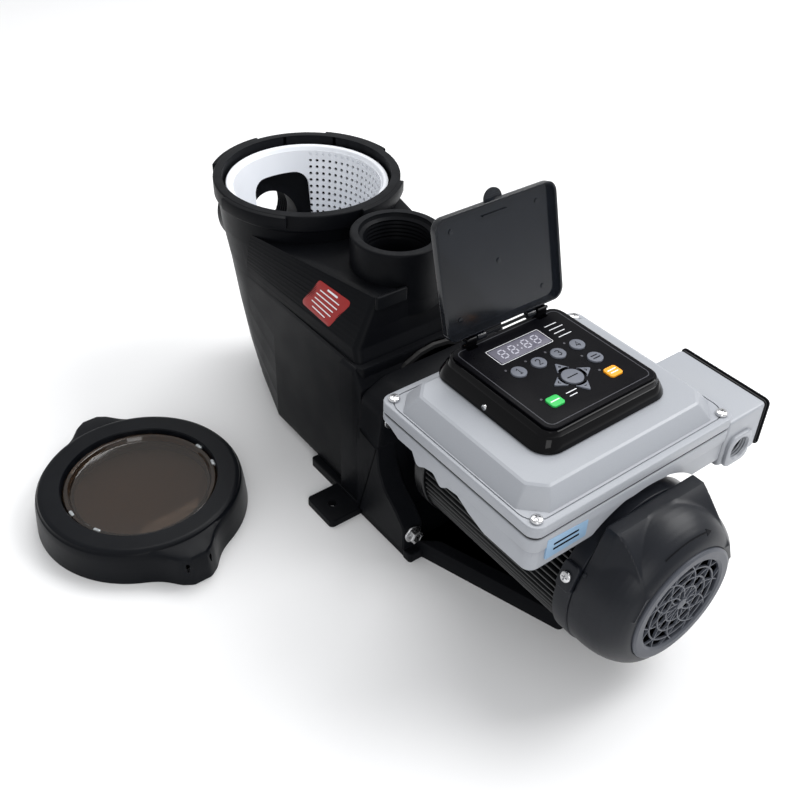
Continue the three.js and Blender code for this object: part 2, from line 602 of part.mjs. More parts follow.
function bezel() {
  const outline = (width, depth, radius) => roundedRectangle(width, depth, radius).getPoints(5).map(({ x, y }) => [x, y]);
  const foot = outline(132, 138, 18);
  const body = hull({ outline: foot, z: boxTop + GAP }, { outline: foot, z: boxTop + 3 },
    { outline: outline(keypadSize + 4, keypadSize + 6, 12), z: bezelTop });
  const hollow = slab(keypadSize - 10, keypadSize - 10, 6, boxTop - 1, bezelTop + 1);
  const knuckles = bezelKnuckles.map((y) =>
    join(alongY(0, 3.4, y - 5, y + 5, 12), block(-3.4, 3.4, y - 5, y + 5, bezelTop - 2 - hinge.z, 0))
      .translate(hinge.x - keypadX, 0, hinge.z));
  const pinHole = alongY(0, pinRadius + GAP, -90, 90, 12).translate(hinge.x - keypadX, 0, hinge.z);
  return cut(join(body, ...knuckles), hollow, pinHole);
}

function panel() {
  const plate = slab(keypadSize, keypadSize, 9, bezelTop + GAP, panelTop);
  const knuckleRoom = bezelKnuckles.map((y) => block(-5, 5, y - 5.5, y + 5.5, bezelTop, panelTop + 1)
    .translate(hinge.x - keypadX, 0, 0));
  const buttonHoles = buttons.map(({ x, y, shape }) => raised(shape(0.4), bezelTop - 1, panelTop + 1, 6)
    .translate(x - keypadX, y - keypadY, 0));
  return cut(plate, displayWindow(GAP, bezelTop - 1, panelTop + 1), ...buttonHoles, ...knuckleRoom);
}

piece('keypad_bezel', bezel(), 'glossBlack', keypad);
piece('keypad_panel', panel(), 'panelBlack', keypad);
piece('display', displayWindow(0, bezelTop - 3, panelTop + 0.2), 'displayGrey', keypad);
buttons.forEach(({ name, x, y, shape, finish }) =>
  piece(name, raised(shape(0), bezelTop - 2, panelTop + 1.2, 6), finish, keypad, [x - keypadX, y - keypadY, 0]));

// ---- flip cover, drawn closed about its hinge axis and then turned open ----------------------------

function flipCover() {
  const outline = roundedRectangle(coverHeight - 5, coverWidth, 10);
  const tray = cut(raised(outline, -4, 3).translate((coverHeight + 5) / 2, 0, 0),
    slab(coverHeight - 8, coverWidth - 5, 8, -5, 1).translate((coverHeight + 5) / 2, 0, 0));
  const tab = slab(16, 16, 7.5, 1, 3).translate(coverHeight + 1, 0, 0);
  const eyes = coverKnuckles.map((y) => join(alongY(0, 3.2, y - 4.5, y + 4.5, 12), block(0, 8, y - 4.5, y + 4.5, 0.5, 3)));
  return cut(join(tray, tab, ...eyes), alongY(0, pinRadius + GAP, -90, 90, 12));
}

const hingeLine = group(hinge.x, keypadY, hinge.z);
piece('hinge_pin', alongY(0, pinRadius, -46, 46, 12), 'steel', hingeLine);
const opened = group(0, 0, 0, hingeLine);
opened.rotation.y = THREE.MathUtils.degToRad(-coverAngle);
piece('flip_cover', flipCover(), 'smoke', opened);

// ---- loose lid, lying on the floor beside the pump -------------------------------------------------

// A handle of the lock ring: flat-topped, wide where it leaves the ring and narrow at its round tip.
function wing(turn) {
  const level = (z, inset) => ({ outline: [[80, -46 + inset], [wingReach - 6 - inset, -18], [wingReach - inset, -9],
    [wingReach - inset, 9], [wingReach - 6 - inset, 18], [80, 46 - inset]], z });
  return hull(level(0, 0), level(lidTop - 10, 2), level(lidTop - 4, 7)).rotateZ(turn);
}

function lockRing() {
  const outside = turned([[0, 0], [lidOuter, 0], [lidOuter - 3, lidTop - 9], [lidOuter - 5, lidTop - 3],
    [lidOuter - 10, lidTop], [0, lidTop]]);
  const under = ring(0, lidOuter - lidWall, -1, 20);
  const mouth = ring(0, lidMouth, 0, lidTop + 1);
  const catches = [0, 1, 2, 3].map((turn) => {
    const shape = new THREE.Shape();
    const [from, to] = [0, lugAngle - 8].map(THREE.MathUtils.degToRad);
    shape.absarc(0, 0, lidOuter - lidWall + 1, from, to);
    shape.absarc(0, 0, potRing + 1, to, from, true);
    return raised(shape, 1, 6, 3).rotateZ((turn * Math.PI) / 2);
  });
  return join(cut(join(outside, wing(0), wing(Math.PI)), under, mouth), ...catches);
}

// The smoked window: a shallow dish with a flange that the lock ring presses on.
function lidWindow() {
  return turned([[0, 22], [64, 22], [66, 14], [92, 14], [92, 19], [72.5, 19], [72.5, 30], [68, 31], [66, 27], [0, 26]]);
}

piece('lock_ring', lockRing(), 'blackPlastic', lid);
piece('lid_window', lidWindow(), 'amber', lid);
piece('lid_seal', ring(84, 90, 9, 14 - GAP), 'rubber', lid);

export default model;
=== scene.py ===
"""A variable-speed pool pump with its strainer pot open and the screw-on lid lying beside it.

Every shape is worked out in millimetres in the pump's own frame: +X runs along the motor shaft from the
strainer pot to the fan cover, +Y points to the wiring box, +Z is up. Pieces are written to Blender in metres.
"""

import logging
import math
from dataclasses import dataclass
from enum import Enum
from typing import Any, Sequence

import bmesh
import bpy
import numpy as np
from mathutils import Matrix, Vector


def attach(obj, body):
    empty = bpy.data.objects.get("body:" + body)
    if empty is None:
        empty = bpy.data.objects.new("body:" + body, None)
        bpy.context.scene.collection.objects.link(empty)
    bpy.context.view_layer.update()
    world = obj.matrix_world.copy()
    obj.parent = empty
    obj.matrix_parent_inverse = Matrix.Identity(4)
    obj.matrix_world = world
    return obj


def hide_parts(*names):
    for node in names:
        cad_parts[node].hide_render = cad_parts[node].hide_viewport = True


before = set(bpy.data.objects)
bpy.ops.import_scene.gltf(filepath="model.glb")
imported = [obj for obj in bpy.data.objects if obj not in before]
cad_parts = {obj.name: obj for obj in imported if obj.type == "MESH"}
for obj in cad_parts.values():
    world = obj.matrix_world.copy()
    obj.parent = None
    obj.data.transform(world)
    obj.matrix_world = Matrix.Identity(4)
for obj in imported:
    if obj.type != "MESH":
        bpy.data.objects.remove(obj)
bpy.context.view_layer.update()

logging.basicConfig(level=logging.INFO, format="%(levelname)s %(message)s")
log = logging.getLogger("pool_pump")

MM = 0.001
SHAFT_Z = 100.0
FLANGE_BOLTS = ((-80, 29), (80, 29), (-74, 134), (74, 134))
EAR_X, EAR_TURN = 270.3, 68.75
HINGE = (113.0, -9.0, 245.5)
INK_ROOT, INK_RISE = 0.25, 0.07
PIN_RADIUS = 1.7


class Body(str, Enum):
    """The moving bodies that pieces ride on."""

    PUMP = "pump_body"
    BASKET = "basket"
    LID = "lid"
    LID_RING = "lid_ring"
    COVER = "flip_cover"


class Facing(Enum):
    """Which way a shape drawn standing on the XY plane is turned: the rows are the images of x, y and z."""

    ALONG_X = ((0, 1, 0), (0, 0, 1), (1, 0, 0))
    ALONG_Y = ((0, 0, 1), (1, 0, 0), (0, 1, 0))
    ACROSS = ((1, 0, 0), (0, 0, 1), (0, -1, 0))


# ---- shapes ------------------------------------------------------------------------------------------


@dataclass
class Shell:
    """A surface in millimetres: its points, shape (n, 3), and the faces that join them."""

    points: np.ndarray
    faces: list[tuple[int, ...]]

    def faced(self, facing: Facing) -> "Shell":
        """The shell turned so that its own z looks along another axis."""
        return Shell(self.points @ np.array(facing.value, float), self.faces)

    def on_shaft(self) -> "Shell":
        """The shell laid along the motor's shaft."""
        return self.faced(Facing.ALONG_X).moved(z=SHAFT_Z)

    def moved(self, x: float = 0.0, y: float = 0.0, z: float = 0.0) -> "Shell":
        """The shell shifted by x, y and z."""
        return Shell(self.points + np.array([x, y, z]), self.faces)

    def rolled(self, degrees: float, axis: str = "X") -> "Shell":
        """The shell turned about an axis through the origin, by the right-hand rule."""
        turn = np.array(Matrix.Rotation(math.radians(degrees), 3, axis))
        return Shell(self.points @ turn.T, self.faces)

    def __add__(self, other: "Shell") -> "Shell":
        """Both shells as one list of points and faces."""
        count = len(self.points)
        shifted = [tuple(index + count for index in face) for face in other.faces]
        return Shell(np.vstack([self.points, other.points]), self.faces + shifted)


def together(shells: Sequence[Shell]) -> Shell:
    """All the shells as one.

    Args:
        shells: one or more shells.

    Returns:
        One shell of all their points and faces.
    """
    result = shells[0]
    for shell in shells[1:]:
        result = result + shell
    return result


def grid_faces(rows: int, columns: int, wrap_rows: bool = False, wrap_columns: bool = True) -> np.ndarray:
    """The four-cornered faces of a grid of points.

    Args:
        rows: number of rows of points.
        columns: number of points in a row.
        wrap_rows: the last row joins the first.
        wrap_columns: the last point of a row joins its first.

    Returns:
        An array of point numbers, shape (faces, 4).
    """
    i, j = np.meshgrid(np.arange(rows if wrap_rows else rows - 1),
                       np.arange(columns if wrap_columns else columns - 1), indexing="ij")
    up, along = (i + 1) % rows, (j + 1) % columns
    return np.stack([i * columns + j, i * columns + along, up * columns + along, up * columns + j],
                    -1).reshape(-1, 4)


def loft(sections: np.ndarray, ring: bool = False) -> Shell:
    """A closed skin over closed sections, given from first to last with the skin's outside on their right.

    Args:
        sections: points, shape (sections, points in each, 3).
        ring: the last section joins the first, as on a tyre, in place of two end caps.

    Returns:
        The closed shell.
    """
    rows, columns = sections.shape[:2]
    faces = [tuple(face) for face in grid_faces(rows, columns, wrap_rows=ring).tolist()]
    if not ring:
        faces.append(tuple(range(columns))[::-1])
        faces.append(tuple(range((rows - 1) * columns, rows * columns)))
    return Shell(sections.reshape(-1, 3), faces)


def rounded(corners: Sequence[Sequence[float]], radius: float | Sequence[float], steps: int = 5) -> np.ndarray:
    """A closed path of straight runs, each corner replaced by an arc that touches both of its edges.

    The arc's centre lies on the corner's bisector at radius / sin(half the corner), and its points are found
    by turning the first touching radius towards the second in equal steps.

    Args:
        corners: the corners in order, shape (n, 2).
        radius: one radius, or one for each corner.
        steps: number of steps in each arc.

    Returns:
        The points of the path, shape (n * (steps + 1), 2).
    """
    at = np.asarray(corners, float)
    size = np.maximum(np.broadcast_to(np.asarray(radius, float), len(at)), 0.02)
    back, ahead = np.roll(at, 1, 0) - at, np.roll(at, -1, 0) - at
    back_length, ahead_length = np.linalg.norm(back, axis=1), np.linalg.norm(ahead, axis=1)
    u, v = back / back_length[:, None], ahead / ahead_length[:, None]
    half = 0.5 * np.arccos(np.clip((u * v).sum(1), -0.99999, 0.99999))
    reach = np.minimum(size / np.tan(half), 0.49 * np.minimum(back_length, ahead_length))
    bisector = (u + v) / np.linalg.norm(u + v, axis=1)[:, None]
    centre = at + bisector * (reach / np.cos(half))[:, None]
    first, last = at + u * reach[:, None] - centre, at + v * reach[:, None] - centre
    sweep = np.maximum(np.pi - 2 * half, 1e-3)[:, None]
    k = np.linspace(0, 1, steps + 1)[None, :]
    near, far = np.sin((1 - k) * sweep) / np.sin(sweep), np.sin(k * sweep) / np.sin(sweep)
    return (centre[:, None] + near[..., None] * first[:, None] + far[..., None] * last[:, None]).reshape(-1, 2)


def rectangle(width: float, depth: float, radius: float, middle: tuple[float, float] = (0, 0),
              steps: int = 6) -> np.ndarray:
    """A rectangle with round corners about a middle, as points going anticlockwise."""
    x, y = width / 2, depth / 2
    return rounded([(-x, -y), (x, -y), (x, y), (-x, y)], radius, steps) + np.array(middle)


def circle(radius: float, count: int = 64, middle: tuple[float, float] = (0, 0)) -> np.ndarray:
    """A circle about a middle, as points going anticlockwise.

    Args:
        radius: its radius.
        count: number of points.
        middle: where it is.

    Returns:
        The points, shape (count, 2).
    """
    angle = np.arange(count) * 2 * np.pi / count
    return np.stack([np.cos(angle), np.sin(angle)], -1) * radius + np.array(middle)


def sector(start: float, end: float, inner: float, outer: float, steps: int = 10) -> np.ndarray:
    """A part of a flat ring between two bearings in degrees, as points going anticlockwise.

    Args:
        start: the bearing where it begins.
        end: the bearing where it ends.
        inner: inner radius.
        outer: outer radius.
        steps: number of steps along each arc.

    Returns:
        The points, shape (2 * (steps + 1), 2).
    """
    angle = np.radians(np.linspace(start, end, steps + 1))
    arc = np.stack([np.cos(angle), np.sin(angle)], -1)
    return np.vstack([arc * outer, arc[::-1] * inner])


def inset(outline: np.ndarray, distance: float) -> np.ndarray:
    """The outline with each point moved inward along the bisector of its two edges, so all edges move alike.

    Args:
        outline: a closed outline going anticlockwise.
        distance: how far to go in; less than 0 goes out.

    Returns:
        As many points as there were.
    """
    edge = np.roll(outline, -1, 0) - outline
    normal = np.stack([edge[:, 1], -edge[:, 0]], -1) / np.maximum(np.linalg.norm(edge, axis=1), 1e-9)[:, None]
    before = np.roll(normal, 1, 0)
    spread = np.maximum(1 + (normal * before).sum(1), 0.3)[:, None]
    return outline - distance * (normal + before) / spread


def edge_levels(low: float, high: float, low_radius: float = 0.0, high_radius: float = 0.0,
                steps: int = 4) -> list[tuple[float, float]]:
    """Heights and insets of a slab whose bottom and top edges are rounded in quarter circles.

    Args:
        low: height of the bottom.
        high: height of the top.
        low_radius: radius of the bottom edge.
        high_radius: radius of the top edge.
        steps: number of steps in each quarter circle.

    Returns:
        Pairs of height and inset from the bottom to the top.
    """
    angle = np.linspace(0, np.pi / 2, steps + 1)
    bottom = [(low + low_radius * (1 - np.sin(a)), low_radius * (1 - np.cos(a))) for a in angle[::-1]]
    top = [(high - high_radius * (1 - np.sin(a)), high_radius * (1 - np.cos(a))) for a in angle]
    return (bottom if low_radius else bottom[:1]) + (top if high_radius else top[:1])


def lifted(outline: np.ndarray, height: float) -> np.ndarray:
    """A plane outline as points in space at a height."""
    return np.column_stack([outline, np.full(len(outline), height)])


def slab(outline: np.ndarray, levels: Sequence[tuple[float, float]]) -> Shell:
    """A closed slab: the outline repeated at each height, drawn in by that height's inset.

    Args:
        outline: a closed outline going anticlockwise.
        levels: pairs of height and inset, from the bottom up.

    Returns:
        The closed shell.
    """
    rows = [lifted(inset(outline, draw), height) for height, draw in levels]
    return loft(np.stack(rows))


def plate(width: float, depth: float, corner: float, low: float, high: float, edge: float = 0.0,
          middle: tuple[float, float] = (0, 0), low_edge: float = 0.0) -> Shell:
    """A rectangular slab with round corners and rounded top and bottom edges."""
    return slab(rectangle(width, depth, corner, middle), edge_levels(low, high, low_edge, edge))


def spun(profile: np.ndarray, count: int = 96, ring: bool = True) -> Shell:
    """A profile turned about Z: the point (r, h) goes to (r cos a, r sin a, h) for equal steps of the angle a.

    Args:
        profile: radius and height of each point, going up the outside, shape (n, 2).
        count: number of steps round the turn.
        ring: the profile closes on itself; otherwise it starts and ends on the axis.

    Returns:
        The closed shell.
    """
    angle = np.arange(count) * 2 * np.pi / count
    radius, height = profile[:, :1], profile[:, 1:]
    points = np.stack([radius * np.cos(angle), radius * np.sin(angle), height + 0 * angle], -1)
    return Shell(points.reshape(-1, 3), [tuple(f) for f in grid_faces(len(profile), count,
                                                                      wrap_rows=ring).tolist()])


def turned(corners: Sequence[Sequence[float]], radius: float | Sequence[float] = 0.0, count: int = 96,
           ring: bool = True, steps: int = 4) -> Shell:
    """A profile with rounded corners turned about Z. One that isn't a ring starts and ends on the axis.

    Args:
        corners: radius and height of each corner, going up the outside.
        radius: one rounding radius, or one for each corner.
        count: number of steps round the turn.
        ring: the profile closes on itself.
        steps: number of steps in each rounded corner.

    Returns:
        The closed shell.
    """
    path = rounded(corners, radius, steps)
    if not ring:
        path[:steps + 1], path[-steps - 1:] = corners[0], corners[-1]
    return spun(path, count, ring)


def tube(inner: float, outer: float, low: float, high: float, edge: float = 0.5, count: int = 96) -> Shell:
    """A ring of rectangular section with rounded edges, about Z."""
    return turned([(outer, low), (outer, high), (inner, high), (inner, low)], edge, count)


def rod(radius: float, low: float, high: float, edge: float = 0.4, count: int = 32) -> Shell:
    """A solid cylinder with rounded edges, about Z."""
    return turned([(0, low), (radius, low), (radius, high), (0, high)], [0, edge, edge, 0], count, ring=False)


# ---- meshes and pieces -------------------------------------------------------------------------------


def as_mesh(name: str, shell: Shell) -> bpy.types.Mesh:
    """Writes a shell into a new mesh in metres, joins its doubled points and turns its faces outward.

    Args:
        name: the mesh's name.
        shell: the shell in millimetres.

    Returns:
        The mesh.
    """
    mesh = bpy.data.meshes.new(name)
    mesh.from_pydata((shell.points * MM).tolist(), [], shell.faces)
    work = bmesh.new()
    work.from_mesh(mesh)
    bmesh.ops.remove_doubles(work, verts=work.verts, dist=2e-6)
    bmesh.ops.dissolve_degenerate(work, edges=work.edges, dist=1e-6)
    bmesh.ops.recalc_face_normals(work, faces=work.faces)
    work.to_mesh(mesh)
    work.free()
    return mesh


def into_scene(name: str, data: bpy.types.ID) -> bpy.types.Object:
    """Puts a new object that shows the data into the scene."""
    item = bpy.data.objects.new(name, data)
    bpy.context.scene.collection.objects.link(item)
    return item


def baked(item: bpy.types.Object) -> bpy.types.Mesh:
    """The mesh of an object as its modifiers leave it."""
    bpy.context.view_layer.update()
    return bpy.data.meshes.new_from_object(item.evaluated_get(bpy.context.evaluated_depsgraph_get()))


def fused(name: str, base: Shell | bpy.types.Mesh, add: Sequence[Shell] = (),
          cut: Sequence[Shell] = ()) -> bpy.types.Mesh:
    """Joins closed shells to a base and then cuts others from it.

    Args:
        name: name of the new mesh.
        base: the first closed shell or mesh.
        add: closed shells joined to it.
        cut: closed shells taken from the result.

    Returns:
        One closed mesh.
    """
    body = into_scene(name, base if isinstance(base, bpy.types.Mesh) else as_mesh(name, base))
    tools = []
    for operation, shells in (("UNION", add), ("DIFFERENCE", cut)):
        for index, shell in enumerate(shells):
            tool = into_scene(f"{name}_{operation}_{index}", as_mesh(f"{name}_tool", shell))
            step = body.modifiers.new(tool.name, "BOOLEAN")
            step.operation, step.solver, step.object = operation, "EXACT", tool
            tools.append(tool)
    result = baked(body)
    for item in [body, *tools]:
        old = item.data
        bpy.data.objects.remove(item)
        bpy.data.meshes.remove(old)
    result.name = name
    return result


def add_piece(name: str, shape: Shell | bpy.types.Mesh, finish: "Finish", body: Body | str,
              stands_for: Sequence[str] = (), sharp: float = 32.0) -> bpy.types.Object:
    """Makes a visible piece and lets it ride on its body.

    Args:
        name: the piece's name.
        shape: its shell or finished mesh.
        finish: its finish.
        body: the body that it moves with.
        stands_for: CAD nodes that it is shown in place of.
        sharp: edges that turn by more degrees than this stay crisp.

    Returns:
        The new object.
    """
    mesh = as_mesh(name, shape) if isinstance(shape, Shell) else shape
    mesh.materials.clear()
    mesh.materials.append(paint(finish))
    mesh.shade_smooth()
    piece = into_scene(name, mesh)
    mesh.set_sharp_from_angle(angle=math.radians(sharp))
    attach(piece, body.value if isinstance(body, Body) else body)
    if stands_for:
        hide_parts(*stands_for)
    log.info("piece %s: %d faces on %s", name, len(mesh.polygons), getattr(body, "value", body))
    return piece


def dress(nodes: Sequence[str], material: bpy.types.Material) -> None:
    """Gives CAD nodes that are shown as they are a finish.

    Args:
        nodes: names of the nodes.
        material: the material that they get.
    """
    for node in nodes:
        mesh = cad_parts[node].data
        mesh.materials.clear()
        mesh.materials.append(material)
        log.info("node %s: %s", node, material.name)


# ---- finishes ----------------------------------------------------------------------------------------

Colour = tuple[float, float, float]


@dataclass(frozen=True)
class MouldedFinish:
    """A moulded plastic, rubber, printed film or fired ceramic surface."""

    name: str
    colour: Colour
    roughness: float
    grain: float = 900.0
    grain_depth: float = 0.12
    mottle: float = 0.12
    dust: float = 0.06
    wear: float = 0.25
    coat: float = 0.0
    specular: float = 0.3


@dataclass(frozen=True)
class CoatedFinish:
    """A painted or powder-coated casting."""

    name: str
    colour: Colour
    roughness: float
    peel: float = 520.0
    peel_depth: float = 0.06
    fleck: float = 0.05
    wear: float = 0.2
    coat: float = 0.15


@dataclass(frozen=True)
class GlossFinish:
    """A polished plastic that shows smudges, hairline scratches and specks of dust."""

    name: str
    colour: Colour
    roughness: float
    smudge: float = 0.08
    specks: float = 0.25
    transmission: float = 0.0
    # colour painted where a smoked surface is seen edge-on: painted shade standing in for the deeper tint
    rim: Colour = (0.0, 0.0, 0.0)
    ior: float = 1.49
    specular: float = 0.5


@dataclass(frozen=True)
class MetalFinish:
    """A bare or plated metal with turning marks and painted shade in its corners."""

    name: str
    colour: Colour
    roughness: float
    marks: float = 1400.0
    anisotropy: float = 0.3
    # strength of the painted shade in hollow corners
    grime: float = 0.6


@dataclass(frozen=True)
class StackedFinish:
    """Thin layers stacked along the shaft: steel sheets, or turns of wire."""

    name: str
    colour: Colour
    between: Colour
    layers: float
    metal: float
    roughness: float


Finish = MouldedFinish | CoatedFinish | GlossFinish | MetalFinish | StackedFinish

WET_BLACK = MouldedFinish("textured black moulding", (0.0032, 0.0036, 0.0048), 0.42, 1100, 0.22, 0.3, 0.004,
                          0.5, specular=0.07)
LID_BLACK = MouldedFinish("satin black lock ring", (0.0036, 0.0043, 0.006), 0.33, 1300, 0.1, 0.25, 0.004, 0.5,
                          specular=0.1)
COVER_GREY = MouldedFinish("satin dark grey cover", (0.0075, 0.0088, 0.0125), 0.36, 900, 0.16, 0.12, 0.004,
                           0.3, specular=0.22)
GRILLE_GREY = MouldedFinish("mid grey grille", (0.055, 0.06, 0.074), 0.4, 900, 0.1, 0.08, 0.01, 0.3)
BASKET_WHITE = MouldedFinish("white basket", (0.8, 0.82, 0.86), 0.34, 500, 0.05, 0.03, 0.0, 0.1)
PANEL_FILM = MouldedFinish("black printed film", (0.0022, 0.0022, 0.0034), 0.3, 1900, 0.12, 0.1, 0.002, 0.1,
                           specular=0.05)
KEY_GREY = MouldedFinish("grey printed key", (0.13, 0.14, 0.17), 0.4, 1900, 0.1, 0.08, 0.01, 0.2)
KEY_ORANGE = MouldedFinish("orange printed key", (0.95, 0.36, 0.012), 0.4, 1900, 0.08, 0.06, 0.02, 0.1)
KEY_GREEN = MouldedFinish("green printed key", (0.03, 0.5, 0.1), 0.4, 1900, 0.08, 0.06, 0.02, 0.1)
PRINT_WHITE = MouldedFinish("white print", (0.78, 0.79, 0.82), 0.45, 1900, 0.05, 0.04, 0.0, 0.0)
FRAME_GREY = MouldedFinish("grey border print", (0.045, 0.046, 0.055), 0.4, 1900, 0.05, 0.04, 0.0, 0.0)
LAMP_GREY = MouldedFinish("indicator lens", (0.05, 0.05, 0.06), 0.25, 600, 0.02, 0.05, 0.0, 0.0, 0.4)
DISPLAY_GREY = MouldedFinish("display face", (0.14, 0.135, 0.175), 0.22, 1500, 0.03, 0.06, 0.0, 0.0, 0.6)
SEGMENT_PALE = MouldedFinish("display segment", (0.52, 0.52, 0.6), 0.3, 1500, 0.03, 0.04, 0.0, 0.0, 0.3)
RUBBER_BLACK = MouldedFinish("black rubber", (0.01, 0.01, 0.011), 0.75, 700, 0.25, 0.15, 0.1, 0.1)
LABEL_RED = MouldedFinish("red label film", (0.3, 0.012, 0.011), 0.36, 1500, 0.05, 0.06, 0.0, 0.0, 0.25)
LABEL_BLUE = MouldedFinish("pale blue label film", (0.24, 0.37, 0.52), 0.4, 1500, 0.05, 0.06, 0.0, 0.0, 0.2)
LABEL_YELLOW = MouldedFinish("yellow label film", (0.78, 0.62, 0.08), 0.4, 1500, 0.05, 0.06, 0.0, 0.0, 0.2)
CERAMIC = MouldedFinish("seal ceramic", (0.72, 0.68, 0.58), 0.25, 400, 0.03, 0.05, 0.0, 0.1)
DRIVE_GREY = CoatedFinish("pale grey powder coat", (0.32, 0.335, 0.365), 0.4, 620, 0.05, 0.05, 0.15, 0.12)
MOTOR_BLACK = CoatedFinish("satin black motor paint", (0.003, 0.0033, 0.0042), 0.34, 500, 0.1, 0.2, 0.6, 0.1)
BEZEL_GLOSS = GlossFinish("gloss black bezel", (0.0015, 0.0015, 0.002), 0.05, 0.03, 0.05, specular=0.16)
# the second colour of each smoked finish below is painted shade, shown where the surface is seen edge-on
COVER_SMOKE = GlossFinish("smoked flip cover", (0.012, 0.0145, 0.02), 0.12, 0.05, 0.06, 0.5, (0.008, 0.01,
                          0.014), specular=0.3)
WINDOW_AMBER = GlossFinish("amber smoked window", (0.2, 0.14, 0.1), 0.05, 0.04, 0.05, 0.92, (0.04, 0.026,
                           0.016))
PALE_TAB = GlossFinish("clear tab", (0.75, 0.8, 0.82), 0.1, 0.03, 0.0, 0.5, (0.4, 0.42, 0.45))
BRIGHT_STEEL = MetalFinish("bright plated steel", (0.62, 0.62, 0.63), 0.22)
SHAFT_STEEL = MetalFinish("ground shaft steel", (0.52, 0.53, 0.55), 0.28, 2400, 0.5, 0.2)
CORE_STEEL = StackedFinish("core sheets", (0.22, 0.23, 0.25), (0.03, 0.03, 0.03), 420.0, 1.0, 0.45)
WINDING = StackedFinish("enamelled winding", (0.42, 0.13, 0.04), (0.05, 0.015, 0.006), 260.0, 0.7, 0.3)


class Recipe:
    """A material's node tree while it is put together."""

    def __init__(self, name: str) -> None:
        """Starts a material whose node tree is empty."""
        self.material = bpy.data.materials.new(name)
        self.material.use_nodes = True
        self.tree = self.material.node_tree
        self.tree.nodes.clear()

    def put(self, kind: str, label: str, values: dict[str | int, Any] | None = None,
            **settings: str) -> bpy.types.Node:
        """Adds a node.

        Args:
            kind: the node's type without its common prefix.
            label: what it stands for in this material.
            values: what its inputs are set to, by name or by number.
            **settings: what its other settings are set to.

        Returns:
            The new node.
        """
        node = self.tree.nodes.new("ShaderNode" + kind)
        node.label = label
        for setting, value in settings.items():
            setattr(node, setting, value)
        for socket, value in (values or {}).items():
            node.inputs[socket].default_value = value
        return node

    def join(self, wires: Sequence[tuple[bpy.types.Node, str | int, bpy.types.Node, str | int]]) -> None:
        """Draws each wire: from a node's output to another node's input."""
        for source, output, target, socket in wires:
            self.tree.links.new(source.outputs[output], target.inputs[socket])

    def set_out(self, effects: Sequence[tuple[str, Sequence[bpy.types.Node]]]) -> None:
        """Sets each effect's nodes side by side on a row of its own, in a frame named for the effect."""
        for row, (effect, nodes) in enumerate(effects):
            surround = self.tree.nodes.new("NodeFrame")
            surround.label = effect
            for column, node in enumerate(nodes):
                node.parent = surround
                node.location = (column * 220 - 1400, 500 - row * 340)


def moulded_plastic(finish: MouldedFinish) -> bpy.types.Material:
    """Plastic with the fine grain of its mould, flow mottling, dust on its upper faces and paler worn edges.

    Args:
        finish: colour, roughness and the strength of each effect.

    Returns:
        The material.
    """
    recipe = Recipe(finish.name)
    put = recipe.put
    pale = tuple(min(1.0, 1.7 * c + 0.004) for c in finish.colour)
    surface = put("BsdfPrincipled", "moulded surface", {"Coat Weight": finish.coat, "Coat Roughness": 0.12,
                  "Specular IOR Level": finish.specular, "IOR": 1.5})
    output = put("OutputMaterial", "to the piece")
    place = put("TexCoord", "place on the pump")
    flow = put("TexNoise", "flow of the melt", {"Scale": 26.0, "Detail": 4.0})
    flow_colour = put("Mix", "mottled colour", {6: (*(c * (1 - finish.mottle) for c in finish.colour), 1),
                      7: (*(min(1.0, c * (1 + finish.mottle)) for c in finish.colour), 1)}, data_type="RGBA")
    shine = put("MapRange", "uneven shine", {"From Min": 0.3, "From Max": 0.7,
                "To Min": finish.roughness - 0.05, "To Max": finish.roughness + 0.06})
    grain = put("TexNoise", "grain of the mould", {"Scale": finish.grain, "Detail": 2.0})
    relief = put("Bump", "grain relief", {"Strength": finish.grain_depth, "Distance": 0.0004})
    shape = put("NewGeometry", "edges and upper faces")
    edge = put("MapRange", "rubbed edge", {"From Min": 0.52, "From Max": 0.62, "To Max": finish.wear})
    worn = put("Mix", "paler at rubbed edges", {7: (*pale, 1)}, data_type="RGBA")
    facing = put("SeparateXYZ", "how far it faces up")
    lying = put("MapRange", "where dust can lie", {"From Min": 0.55, "To Max": finish.dust})
    patches = put("TexNoise", "patches of dust", {"Scale": 75.0, "Detail": 6.0})
    settled = put("Math", "settled dust", operation="MULTIPLY")
    dusty = put("Mix", "dusted colour", {7: (0.42, 0.41, 0.39, 1)}, data_type="RGBA")
    recipe.join([(place, "Object", flow, "Vector"), (place, "Object", grain, "Vector"),
                (place, "Object", patches, "Vector"), (flow, "Fac", flow_colour, 0),
                (flow, "Fac", shine, "Value"), (shape, "Pointiness", edge, "Value"),
                (edge, "Result", worn, 0), (flow_colour, 2, worn, 6), (shape, "Normal", facing, "Vector"),
                (facing, "Z", lying, "Value"), (lying, "Result", settled, 0), (patches, "Fac", settled, 1),
                (settled, "Value", dusty, 0), (worn, 2, dusty, 6), (grain, "Fac", relief, "Height"),
                (dusty, 2, surface, "Base Color"), (shine, "Result", surface, "Roughness"),
                (relief, "Normal", surface, "Normal"), (surface, "BSDF", output, "Surface")])
    recipe.set_out([("melt flow", (place, flow, flow_colour, shine)), ("mould grain", (grain, relief)),
                   ("rubbed edges", (shape, edge, worn)), ("dust", (facing, lying, patches, settled, dusty)),
                   ("surface", (surface, output))])
    return recipe.material


